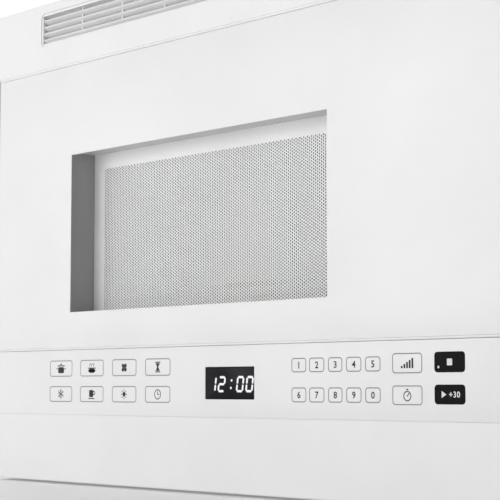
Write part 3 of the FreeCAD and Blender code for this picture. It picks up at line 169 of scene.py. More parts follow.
class NodeTree:
    """A node tree of a material or the world, written as expressions."""

    def __init__(self, owner: bpy.types.Material | bpy.types.World) -> None:
        """Empties the owner's tree.

        Args:
            owner: the material or world whose tree is built.
        """
        owner.use_nodes = True
        self.nodes = owner.node_tree.nodes
        self.links = owner.node_tree.links
        self.nodes.clear()

    def add(self, kind: str, settings: dict | None = None, inputs: dict | None = None,
            output: int | str = 0) -> Signal | None:
        """Adds a node.

        Args:
            kind: the node's type without ShaderNode in front.
            settings: its properties, set first; "stops" gives a ramp's places and colours.
            inputs: a number, colour or link for each named or numbered socket.
            output: which output is wanted.

        Returns:
            That output, or None for a node that has none.
        """
        node = self.nodes.new("ShaderNode" + kind)
        for name, value in (settings or {}).items():
            if name == "stops":
                ramp = node.color_ramp
                for index, (place, colour) in enumerate(value):
                    stop = ramp.elements[index] if index < len(ramp.elements) else ramp.elements.new(place)
                    stop.position, stop.color = place, colour
            else:
                setattr(node, name, value)
        for key, value in (inputs or {}).items():
            socket = node.inputs[key]
            if isinstance(value, Signal):
                self.links.new(value.socket, socket)
            else:
                socket.default_value = value
        return Signal(self, node.outputs[output]) if len(node.outputs) else None

    def place(self, stretch: Triple = EVEN) -> Signal:
        """The piece's own coordinates.

        Args:
            stretch: what they are multiplied by along each axis.

        Returns:
            The coordinates in metres.
        """
        where = self.add("TexCoord", output="Object")
        if stretch == EVEN:
            return where
        return self.add("Mapping", inputs={"Vector": where, "Scale": stretch})

    def along(self, axis: str) -> Signal:
        """One coordinate of the place, in millimetres."""
        return self.add("SeparateXYZ", inputs={"Vector": self.place()}, output=axis) * (1.0 / MM)

    def beyond(self, axis: str, span: Span) -> Signal:
        """How far outside a span in mm a point lies along an axis, and less than 0 inside it."""
        return (self.along(axis) - sum(span) / 2).size() - (span[1] - span[0]) / 2

    def noise(self, size: float, detail: float = 2.0, stretch: Triple = EVEN) -> Signal:
        """Soft noise with blots about size mm wide."""
        inputs = {"Vector": self.place(stretch), "Scale": 1.0 / (size * MM), "Detail": detail}
        return self.add("TexNoise", inputs=inputs)

    def cells(self, size: float) -> Signal:
        """Random cells about size mm wide, as the distance from each cell's middle."""
        return self.add("TexVoronoi", inputs={"Vector": self.place(), "Scale": 1.0 / (size * MM)})

    def mix(self, factor: Value, first: Signal | Colour, second: Signal | Colour) -> Signal:
        """A colour between two colours."""
        return self.add("Mix", {"data_type": "RGBA"}, {0: factor, 6: first, 7: second}, output=2)

    def bump(self, height: Signal, depth: float) -> Signal:
        """A normal from a height of 0 to 1 that stands for depth mm."""
        return self.add("Bump", inputs={"Height": height, "Distance": depth * MM, "Strength": 1.0})

    def surface(self, **inputs: Signal | float | Colour) -> None:
        """Ends the tree in a principled surface; a socket's spaces are underscores here."""
        named = {name.replace("_", " "): value for name, value in inputs.items()}
        self.output(self.add("BsdfPrincipled", inputs=named))

    def output(self, shader: Signal, kind: str = "OutputMaterial") -> None:
        """Ends the tree in a shader."""
        self.add(kind, inputs={"Surface": shader})


def grey(value: float) -> Colour:
    """A neutral colour."""
    return value, value, value, 1.0


def shaded(colour: Colour, factor: float) -> Colour:
    """A colour made darker or lighter."""
    red, green, blue = (min(1.0, part * factor) for part in colour[:3])
    return red, green, blue, 1.0


# ---- finishes ----


@dataclass(frozen=True)
class Finish:
    """A named finish, which each kind draws with its own nodes."""

    name: str

    def paint(self, tree: NodeTree) -> None:
        """Draws the nodes.

        Args:
            tree: the material's tree, still empty.
        """
        raise NotImplementedError

    def material(self) -> bpy.types.Material:
        """The finish as a material, made on first use.

        Returns:
            The material.
        """
        title = self.name + "_finish"
        found = bpy.data.materials.get(title)
        if found is None:
            found = bpy.data.materials.new(title)
            self.paint(NodeTree(found))
        return found


class Relief(Enum):
    """The fine relief of a white surface: blot size, depth in mm, and detail."""

    ROLLER_COAT = (1.5, 0.018, 1.0)
    SPARK_MOULD = (0.45, 0.014, 3.0)
    SATIN_FILM = (0.8, 0.004, 2.0)


@dataclass(frozen=True)
class SatinWhite(Finish):
    """White paint, moulding or film: satin, hardly mottled, with a fine relief."""

    colour: Colour = (0.855, 0.855, 0.852, 1.0)
    relief: Relief = Relief.SPARK_MOULD
    gloss: float = 0.42
    mottle: float = 0.975

    def base(self, tree: NodeTree, plain: Signal) -> Signal:
        """The colour, which other whites change in places."""
        return plain

    def paint(self, tree: NodeTree) -> None:
        """Draws the nodes."""
        size, depth, detail = self.relief.value
        blots = tree.noise(60.0, 3.0)
        grain = tree.noise(size, detail)
        tree.surface(
            Base_Color=self.base(
                tree, tree.mix(blots.step(0.35, 0.7), self.colour, shaded(self.colour, self.mottle))),
            Roughness=tree.noise(18.0) * 0.08 + (grain * 0.05 + (self.gloss - 0.06)),
            Normal=tree.bump(grain, depth),
        )


@dataclass(frozen=True)
class WindowShadeWhite(SatinWhite):
    """White whose window walls carry grey painted shade: darker at the sides than above and below, as the
    shade in the recess falls.
    """

    window_x: Span = WINDOW_X
    window_z: Span = WINDOW_Z
    behind: float = -399.7
    # Painted shade on the side walls of the window.
    side: Colour = grey(0.29)
    # Lighter painted shade on the top and bottom walls of the window.
    level: Colour = grey(0.60)
    reach: float = 0.3

    def base(self, tree: NodeTree, plain: Signal) -> Signal:
        """The colour: grey painted shade on the walls of the window, plain elsewhere."""
        off_x = tree.beyond("X", self.window_x)
        off_z = tree.beyond("Z", self.window_z)
        inside = (off_x < self.reach) * (off_z < self.reach) * (tree.along("Y") > self.behind)
        sides = inside * (off_x > -self.reach)
        levels = inside * (off_z > -self.reach)
        return tree.mix(sides, tree.mix(levels, plain, self.level), self.side)


@dataclass(frozen=True)
class ScreenPaint(SatinWhite):
    """White paint on the front of the screen. The holes' walls are near-black painted shade that makes the
    holes read dark, and the back is near-black too, as a dark back.
    """

    front: float = -374.2
    paint_depth: float = 0.04
    # Near-black behind the front: painted shade on the holes' walls, and the colour of the back.
    dark: Colour = grey(0.035)

    def base(self, tree: NodeTree, plain: Signal) -> Signal:
        """The colour: white at the front plane, near-black behind it, painted shade in the holes."""
        return tree.mix(tree.along("Y") > self.front + self.paint_depth, plain, self.dark)


@dataclass(frozen=True)
class ZincSheet(Finish):
    """Hot-dip zinc with its crystals, each a little lighter or darker and smoother or rougher."""

    spangle: float = 7.0
    light: Colour = (0.62, 0.64, 0.65, 1.0)
    dark: Colour = (0.545, 0.565, 0.58, 1.0)

    def paint(self, tree: NodeTree) -> None:
        """Draws the nodes."""
        shade = tree.cells(self.spangle).lot()
        frost = tree.noise(0.9, 3.0, (1.0, 4.0, 1.0))
        tree.surface(
            Base_Color=tree.mix(shade * 0.7 + frost * 0.3, self.dark, self.light),
            Metallic=0.88,
            Roughness=shade * 0.07 + frost * 0.1 + 0.34,
            Normal=tree.bump(shade + frost * 0.3, 0.012),
        )


@dataclass(frozen=True)
class Enamel(Finish):
    """Fired enamel: glossy, slightly wavy, with sparse dark specks."""

    colour: Colour = (0.66, 0.66, 0.64, 1.0)
    speck: Colour = grey(0.2)
    speck_pitch: float = 3.2
    bare_cells: float = 0.72

    def paint(self, tree: NodeTree) -> None:
        """Draws the nodes."""
        dots = tree.cells(self.speck_pitch)
        specks = (1.0 - dots.step(0.09, 0.14)) * (dots.lot() > self.bare_cells)
        wave = tree.noise(4.0, 1.0)
        tree.surface(
            Base_Color=tree.mix(specks, self.colour, self.speck),
            Roughness=wave * 0.06 + 0.2,
            Coat_Weight=0.3,
            Normal=tree.bump(wave, 0.02),
        )


@dataclass(frozen=True)
class Pane(Finish):
    """Clear glass or film in front of something: seen through by its alpha, with faint smears."""

    tint: Colour = (0.82, 0.86, 0.85, 1.0)
    body: float = 0.012

    def paint(self, tree: NodeTree) -> None:
        """Draws the nodes."""
        smear = tree.noise(35.0, 4.0, (1.0, 1.0, 2.5))
        tree.surface(
            Base_Color=tree.mix(smear, self.tint, grey(0.9)),
            Roughness=smear * 0.05 + 0.03,
            Alpha=smear * 0.02 + self.body,
        )


@dataclass(frozen=True)
class PressedGlass(Finish):
    """Thick pressed glass of the tray, which refracts, with soft waves from its mould."""

    tint: Colour = (0.9, 0.965, 0.94, 1.0)

    def paint(self, tree: NodeTree) -> None:
        """Draws the nodes."""
        wave = tree.noise(14.0, 1.0)
        tree.surface(
            Base_Color=tree.mix(wave, self.tint, grey(0.97)),
            Roughness=wave * 0.03 + 0.02,
            IOR=1.5,
            Transmission_Weight=0.94,
            Normal=tree.bump(wave, 0.015),
        )


@dataclass(frozen=True)
class PrismLens(Finish):
    """Frosted lens with rows of small prisms, which spreads the lamp's light."""

    pitch: float = 3.0

    def paint(self, tree: NodeTree) -> None:
        """Draws the nodes."""
        turn = 2.0 * math.pi / self.pitch
        prisms = (tree.along("X") * turn).wave() * (tree.along("Y") * turn).wave()
        tree.surface(
            Base_Color=tree.mix(prisms, (0.80, 0.83, 0.84, 1.0), grey(0.95)),
            Roughness=prisms * 0.1 + 0.25,
            Transmission_Weight=0.6,
            IOR=1.49,
            Normal=tree.bump(prisms, 0.6),
        )


@dataclass(frozen=True)
class SmokedCover(Finish):
    """Near-black polished cover of the clock, with fine hairlines."""

    colour: Colour = (0.0125, 0.0115, 0.0150, 1.0)

    def paint(self, tree: NodeTree) -> None:
        """Draws the nodes."""
        hairs = tree.noise(1.2, 2.0, (0.05, 1.0, 1.0))
        tree.surface(
            Base_Color=tree.mix(hairs, self.colour, (0.018, 0.0165, 0.0210, 1.0)),
            Roughness=hairs * 0.06 + 0.16,
            Specular_IOR_Level=0.05,
            Normal=tree.bump(hairs, 0.001),
        )


@dataclass(frozen=True)
class Ink(Finish):
    """Screen-printed ink, a little uneven, as matt as the film allows."""

    colour: Colour = grey(0.3)
    fleck: float = 0.85
    gloss: float = 0.2

    def paint(self, tree: NodeTree) -> None:
        """Draws the nodes."""
        dots = tree.noise(0.6, 2.0)
        tree.surface(
            Base_Color=tree.mix(dots.step(0.3, 0.75), self.colour, shaded(self.colour, 1.0 / self.fleck)),
            Roughness=dots * 0.1 + 0.45,
            Specular_IOR_Level=self.gloss,
        )


@dataclass(frozen=True)
class Glow(Finish):
    """Lit segments of the clock, a shade less bright in soft blots."""

    colour: Colour = (0.94, 0.93, 1.0, 1.0)
    strength: float = 0.9

    def paint(self, tree: NodeTree) -> None:
        """Draws the nodes."""
        grain = tree.noise(1.5, 1.0)
        tree.surface(
            Base_Color=tree.mix(grain, grey(0.05), grey(0.07)),
            Roughness=0.4,
            Emission_Color=tree.mix(grain, self.colour, (0.88, 0.87, 0.97, 1.0)),
            Emission_Strength=self.strength,
        )


@dataclass(frozen=True)
class MouldedPlastic(Finish):
    """Plain moulded plastic such as nylon: soft sheen, faint flow marks, fine grain."""

    colour: Colour = (0.76, 0.74, 0.68, 1.0)
    flow: Colour = (0.70, 0.68, 0.61, 1.0)
    gloss: float = 0.42
    grain: float = 0.5

    def paint(self, tree: NodeTree) -> None:
        """Draws the nodes."""
        marks = tree.noise(22.0, 3.0, (1.0, 1.0, 2.0))
        grain = tree.noise(self.grain, 3.0)
        tree.surface(
            Base_Color=tree.mix(marks.step(0.3, 0.75), self.colour, self.flow),
            Roughness=grain * 0.12 + (self.gloss - 0.06),
            Normal=tree.bump(grain, 0.015),
        )


@dataclass(frozen=True)
class CircuitBoard(Finish):
    """Green board with paler tracks in front, and mixed component colours behind the board."""

    board_back: float = -387.1
    mask: Colour = (0.02, 0.13, 0.055, 1.0)
    track: Colour = (0.05, 0.23, 0.1, 1.0)

    def paint(self, tree: NodeTree) -> None:
        """Draws the nodes."""
        across = (tree.along("X") * 1.6 + tree.noise(9.0) * 6.0).wave()
        down = (tree.along("Z") * 1.6 + tree.noise(12.0) * 6.0).wave()
        tracks = across.most(down).step(0.86, 0.92)
        block = tree.cells(17.0).lot()
        stops = [(0.0, grey(0.02)), (0.35, (0.05, 0.05, 0.055, 1.0)), (0.55, (0.32, 0.16, 0.04, 1.0)),
                 (0.75, (0.03, 0.07, 0.2, 1.0)), (1.0, (0.5, 0.5, 0.47, 1.0))]
        parts = tree.add("ValToRGB", {"stops": stops}, {"Fac": block})
        behind = tree.along("Y") > self.board_back
        tree.surface(
            Base_Color=tree.mix(behind, tree.mix(tracks, self.mask, self.track), parts),
            Roughness=block * 0.1 + 0.32,
            Normal=tree.bump(tracks, 0.035),
        )


@dataclass(frozen=True)
class Laminations(Finish):
    """Stacked sheets of electrical steel, seen as fine lines, with the windings outside the stack."""

    sheet: float = 0.9
    core: Span = (-1000.0, 1000.0)
    winding: Colour = (0.42, 0.14, 0.045, 1.0)

    def paint(self, tree: NodeTree) -> None:
        """Draws the nodes."""
        depth = tree.along("Y")
        lines = (depth * (2.0 * math.pi / self.sheet)).wave()
        outside = (depth < self.core[0]).most(depth > self.core[1])
        wire = (tree.along("Z") * 7.0).wave()
        steel = tree.mix(lines, (0.13, 0.135, 0.14, 1.0), (0.27, 0.28, 0.29, 1.0))
        # The coil's turns are striped, half as bright between the turns: painted shade in the crevices
        # between the wires.
        coil = tree.mix(wire, shaded(self.winding, 0.5), self.winding)
        tree.surface(
            Base_Color=tree.mix(outside, steel, coil),
            Metallic=0.75 - outside * 0.25,
            Roughness=lines * 0.1 + 0.38,
            Normal=tree.bump(lines * (1.0 - outside) + wire * outside, 0.12),
        )


@dataclass(frozen=True)
class DrawnMetal(Finish):
    """Drawn or brushed bright metal, with short streaks along one axis."""

    colour: Colour = (0.72, 0.725, 0.73, 1.0)
    shade: Colour = (0.58, 0.585, 0.59, 1.0)
    streak: Triple = (0.08, 1.0, 1.0)
    gloss: float = 0.3

    def paint(self, tree: NodeTree) -> None:
        """Draws the nodes."""
        streaks = tree.noise(0.8, 3.0, self.streak)
        tree.surface(
            Base_Color=tree.mix(streaks, self.shade, self.colour),
            Metallic=0.95,
            Roughness=streaks * 0.14 + (self.gloss - 0.07),
            Normal=tree.bump(streaks, 0.006),
        )


@dataclass(frozen=True)
class KnittedAluminium(Finish):
    """The deep layers of an expanded aluminium filter: crossed wires, and dark gaps between them that are
    painted shade.
    """

    pitch: float = 3.0
    wire: Colour = (0.68, 0.685, 0.69, 1.0)
    # Painted shade in the gaps between the wires.
    gap: Colour = (0.16, 0.165, 0.17, 1.0)

    def paint(self, tree: NodeTree) -> None:
        """Draws the nodes."""
        turn = math.pi / self.pitch
        one = ((tree.along("X") + tree.along("Y")) * turn).wave()
        two = ((tree.along("X") - tree.along("Y")) * turn + tree.noise(7.0) * 2.0).wave()
        wires = one.most(two).step(0.62, 0.86)
        tree.surface(
            Base_Color=tree.mix(wires, self.gap, self.wire),
            Metallic=0.9,
            Roughness=0.5 - wires * 0.18,
            Normal=tree.bump(wires, 0.4),
        )


@dataclass(frozen=True)
class Granules(Finish):
    """Activated charcoal: small black grains."""

    size: float = 2.4

    def paint(self, tree: NodeTree) -> None:
        """Draws the nodes."""
        grains = tree.cells(self.size)
        # Each grain darkens towards its edge: painted shade in the hollows between the grains.
        tree.surface(
            Base_Color=tree.mix(grains, grey(0.035), grey(0.012)),
            Roughness=grains * 0.2 + 0.6,
            Normal=tree.bump(1.0 - grains, 0.8),
        )


@dataclass(frozen=True)
class Mica(Finish):
    """Pressed mica sheet: brown-grey with silvery flakes."""

    def paint(self, tree: NodeTree) -> None:
        """Draws the nodes."""
        shine = tree.cells(2.2).lot()
        tree.surface(
            Base_Color=tree.mix(shine, (0.36, 0.31, 0.24, 1.0), (0.58, 0.54, 0.47, 1.0)),
            Roughness=0.5 - shine * 0.2,
            Metallic=shine * 0.25,
            Normal=tree.bump(shine, 0.02),
        )


def slot_finishes() -> dict[str, Finish]:
    """The finish of each material slot of the record."""
    steel = SatinWhite("screen_steel", colour=(0.80, 0.80, 0.79, 1.0), relief=Relief.ROLLER_COAT)
    finishes = (
        SatinWhite("white_paint", relief=Relief.ROLLER_COAT, gloss=0.46), SatinWhite("white_moulding"),
        SatinWhite("white_film", relief=Relief.SATIN_FILM, gloss=0.4), steel, ZincSheet("galvanised"),
        Enamel("enamel"), PressedGlass("clear_glass"), SmokedCover("dark_window"), MouldedPlastic("nylon"),
        MouldedPlastic("black_plastic", grey(0.02), grey(0.028), 0.45), CircuitBoard("board"),
        Laminations("electrical_steel"), DrawnMetal("aluminium_can"), KnittedAluminium("filter_mesh"),
        Granules("charcoal"), PrismLens("lens"), Mica("mica"),
        DrawnMetal("spring_steel", grey(0.5), grey(0.38), (1.0, 1.0, 0.1), 0.32),
        DrawnMetal("zinc_screw", (0.6, 0.62, 0.65, 1.0), (0.5, 0.52, 0.54, 1.0), EVEN, 0.36),
    )
    return {finish.name: finish for finish in finishes}


def node_finishes() -> dict[str, Finish]:
    """Nodes whose finish differs from the rest of their slot."""
    return {
        "hv_transformer": Laminations("transformer", core=(-187.0, -121.0)),
        "inner_window": Pane("inner_window", body=0.03),
        # The walls of the window's recess carry grey painted shade, darker at the sides.
        "door_frame": WindowShadeWhite("door_frame", window_x=(-194.1, 100.8), window_z=(134.2, 267.2)),
    }


# ---- modelling by operators ----


class Pick(Enum):
    """What is picked in edit mode."""

    VERT = "VERT"
    EDGE = "EDGE"
    FACE = "FACE"


class Side(Enum):
    """Places along X, seen from the front."""

    LEFT = "left"
    MIDDLE = "middle"
    RIGHT = "right"


def metres(x: float, y: float, z: float) -> Triple:
    """A point in mm as Blender takes it."""
    return x * MM, y * MM, z * MM


def centre(span: Span) -> float:
    """The middle of a span."""
    return sum(span) / 2


def length(span: Span) -> float:
    """How long a span is."""
    return span[1] - span[0]


def grown(span: Span, play: float) -> Span:
    """A span made longer at both ends."""
    return span[0] - play, span[1] + play


def between(value: float, span: Span) -> bool:
    """Whether a number lies inside a span."""
    return span[0] < value < span[1]


def near(value: float, *targets: float) -> bool:
    """Whether a number in mm agrees with one of some others."""
    return any(abs(value - target) < TOUCH for target in targets)


def on_axis(axis: int, value: float) -> list[float]:
    """A vector along one axis."""
    return [value if index == axis else 0.0 for index in range(3)]


def polar(radius: float, angle: float) -> tuple[float, float]:
    """A point at a distance from the middle and an angle in degrees."""
    return radius * math.cos(math.radians(angle)), radius * math.sin(math.radians(angle))


def alone(piece: Piece) -> Piece:
    """Selects one object alone and makes it the active one.

    Args:
        piece: the object.

    Returns:
        The same object.
    """
    bpy.ops.object.select_all(action="DESELECT")
    piece.select_set(True)
    bpy.context.view_layer.objects.active = piece
    return piece


def added(name: str, primitive: Callable[..., object], **settings: object) -> Piece:
    """Adds a primitive with nothing else selected.

    Args:
        name: the new object's name.
        primitive: the operator that adds it.
        **settings: the operator's settings.

    Returns:
        The new object.
    """
    bpy.ops.object.select_all(action="DESELECT")
    primitive(**settings)
    piece = bpy.context.active_object
    piece.name = piece.data.name = name
    return piece


def settle() -> None:
    """Moves the place, turn and size of what is selected into its mesh."""
    bpy.ops.object.transform_apply(location=True, rotation=True, scale=True)


def take_all() -> None:
    """Selects the whole mesh in edit mode."""
    bpy.ops.mesh.select_all(action="SELECT")


@contextmanager
def editing(piece: Piece) -> Iterator[None]:
    """Edit mode on one piece, left again at the end.

    Args:
        piece: the piece.
    """
    alone(piece)
    bpy.ops.object.mode_set(mode="EDIT")
    try:
        yield
    finally:
        bpy.ops.object.mode_set(mode="OBJECT")


def pick(piece: Piece, kind: Pick, test: Callable[[Vector, Vector], bool]) -> None:
    """Selects, in edit mode, what passes a test and nothing else.

    Args:
        piece: the piece being edited.
        kind: corners, edges or faces.
        test: takes the middle in mm and the normal, or an edge's direction.
    """
    bpy.ops.mesh.select_mode(type=kind.value)
    bpy.ops.mesh.select_all(action="DESELECT")
    mesh = bmesh.from_edit_mesh(piece.data)
    if kind is Pick.VERT:
        found = [(v, v.co, v.normal) for v in mesh.verts]
    elif kind is Pick.EDGE:
        ends = [(e, e.verts[0].co, e.verts[1].co) for e in mesh.edges]
        found = [(e, (a + b) / 2, (b - a).normalized()) for e, a, b in ends]
    else:
        found = [(f, f.calc_center_median(), f.normal) for f in mesh.faces]
    for item, middle, way in found:
        if test(middle / MM, way):
            item.select_set(True)
    mesh.select_flush_mode()
    bmesh.update_edit_mesh(piece.data)


def start_block(name: str, x: Span, y: Span, z: Span) -> Piece:
    """Adds a box primitive at its size and place.

    Args:
        name: the piece's name.
        x: its span in mm along X.
        y: its span in mm along Y.
        z: its span in mm along Z.

    Returns:
        The piece, with its place in its mesh.
    """
    middle = metres(centre(x), centre(y), centre(z))
    piece = added(name, bpy.ops.mesh.primitive_cube_add, size=1.0, location=middle)
    piece.scale = metres(length(x), length(y), length(z))
    settle()
    return piece


def cut_across(axis: int, places: Span) -> None:
    """Bisects the mesh in edit mode at two places along an axis.

    Args:
        axis: 0, 1 or 2 for X, Y or Z.
        places: the places in mm.
    """
    for place in places:
        take_all()
        bpy.ops.mesh.bisect(plane_co=on_axis(axis, place * MM), plane_no=on_axis(axis, 1.0))


def open_window(piece: Piece, x: Span, z: Span) -> None:
    """Makes a rectangular opening through a plate that stands upright.

    Args:
        piece: the plate.
        x: the opening's span in mm along X.
        z: the opening's span in mm along Z.
    """
    with editing(piece):
        cut_across(0, x)
        cut_across(2, z)
        pick(piece, Pick.FACE, lambda p, n: abs(n.y) > MOSTLY and between(p.x, x) and between(p.z, z))
        bpy.ops.mesh.bridge_edge_loops()


def bevel_edges(piece: Piece, width: float, segments: int, test: Callable[[Vector, Vector], bool]) -> None:
    """Bevels the edges that pass a test.

    Args:
        piece: the piece.
        width: the bevel's width in mm.
        segments: its steps.
        test: takes an edge's middle in mm and its direction.
    """
    with editing(piece):
        pick(piece, Pick.EDGE, test)
        bpy.ops.mesh.bevel(offset=width * MM, segments=segments, affect="EDGES")


def modify(piece: Piece, kind: str, **settings: object) -> None:
    """Adds a modifier, sets it and applies it.

    Args:
        piece: the piece.
        kind: the modifier's type.
        **settings: its properties.
    """
    alone(piece)
    modifier = piece.modifiers.new(kind.title(), kind)
    for name, value in settings.items():
        setattr(modifier, name, value)
    bpy.ops.object.modifier_apply(modifier=modifier.name)


def repeat(piece: Piece, count: int, step: Triple) -> None:
    """Repeats a piece in a row, each copy merged with the next.

    Args:
        piece: the piece.
        count: how many there are in the row.
        step: from one to the next, in metres.
    """
    modify(piece, "ARRAY", count=count, use_relative_offset=False, use_constant_offset=True,
           constant_offset_displace=step, use_merge_vertices=True, merge_threshold=WELD)


def thicken(piece: Piece, thickness: float) -> None:
    """Gives a flat sheet a thickness in mm, behind its face."""
    modify(piece, "SOLIDIFY", thickness=thickness * MM, offset=-1.0)


def face_front(piece: Piece) -> None:
    """Turns a flat upright sheet's faces towards the front, in edit mode.

    Args:
        piece: the sheet.
    """
    take_all()
    bpy.ops.mesh.normals_make_consistent(inside=False)
    mesh = bmesh.from_edit_mesh(piece.data)
    mesh.faces.ensure_lookup_table()
    if mesh.faces[0].normal.y > 0.0:
        bpy.ops.mesh.flip_normals()


def copied(piece: Piece) -> Piece:
    """A copy of a piece, with its own mesh.

    Args:
        piece: the piece.

    Returns:
        The copy.
    """
    alone(piece)
    bpy.ops.object.duplicate()
    return bpy.context.active_object


def joined(name: str, pieces: list[Piece]) -> Piece:
    """Joins pieces into the first of them.

    Args:
        name: the name of the whole.
        pieces: the pieces.

    Returns:
        The whole.
    """
    whole = alone(pieces[0])
    for piece in pieces:
        piece.select_set(True)
    bpy.ops.object.join()
    whole.name = whole.data.name = name
    return whole


def finish_piece(piece: Piece, body: str, slot: str = "", replaces: tuple[str, ...] = (),
                 finish: Finish | None = None) -> None:
    """Gives a piece its material and shading, and hangs it on its body.

    Args:
        piece: the finished mesh.
        body: the CAD body that it rides on.
        slot: the record's material slot, where there is one.
        replaces: the CAD nodes that it stands for.
        finish: its finish, where it isn't the slot's own.
    """
    finish = finish or slot_finishes()[slot]
    alone(piece)
    piece.data.materials.clear()
    piece.data.materials.append(finish.material())
    bpy.ops.object.shade_smooth_by_angle(angle=SMOOTH_BELOW)
    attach(piece, body)
    if replaces:
        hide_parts(*replaces)
    log.info("piece %s: %d faces on body %s", piece.name, len(piece.data.polygons), body)


# ---- door ----


@dataclass
class DoorFace:
    """The white door face with ground edges, and the clear pane in its window."""

    x: Span = (-295.0, 252.0)
    y: Span = (-400.0, -396.8)
    z: Span = (107.5, 339.1)
    ground: float = 0.8
    window_edge: float = 0.25
    pane_play: float = 0.1
    pane_set_back: float = 0.35
    pane_edge: float = 0.3

    def build(self) -> None:
        """Models the face and the pane."""
        self.face()
        self.pane()

    def face(self) -> None:
        """The face: a slab with the window through it and its front edges ground."""
        slab = start_block("door_face", self.x, self.y, self.z)
        open_window(slab, WINDOW_X, WINDOW_Z)
        bevel_edges(slab, self.ground, 3, lambda p, way: near(p.y, self.y[0]) and (
            near(p.z, *self.z) or near(p.x, self.x[1])))
        bevel_edges(slab, self.window_edge, 2, lambda p, way: near(p.y, self.y[0]) and self.on_rim(p))
        # The walls of the window carry grey painted shade, darker at the sides.
        white = WindowShadeWhite("door_white", relief=Relief.SATIN_FILM, gloss=0.34)
        finish_piece(slab, "door", "white_film", ("door_glass",), white)

    def on_rim(self, point: Vector) -> bool:
        """Whether a point lies on the rim of the window."""
        return (near(point.x, *WINDOW_X) and between(point.z, grown(WINDOW_Z, MARGIN))) or (
            near(point.z, *WINDOW_Z) and between(point.x, grown(WINDOW_X, MARGIN)))

    def pane(self) -> None:
        """The pane, a little smaller than the window and set back from the face."""
        front = self.y[0] + self.pane_set_back
        pane = start_block("window_pane", grown(WINDOW_X, -self.pane_play), (front, self.y[1]),
                           grown(WINDOW_Z, -self.pane_play))
        bevel_edges(pane, self.pane_edge, 2, lambda p, way: near(p.y, front))
        finish_piece(pane, "door", "clear_glass", ("door_glass",), Pane("window_pane"))


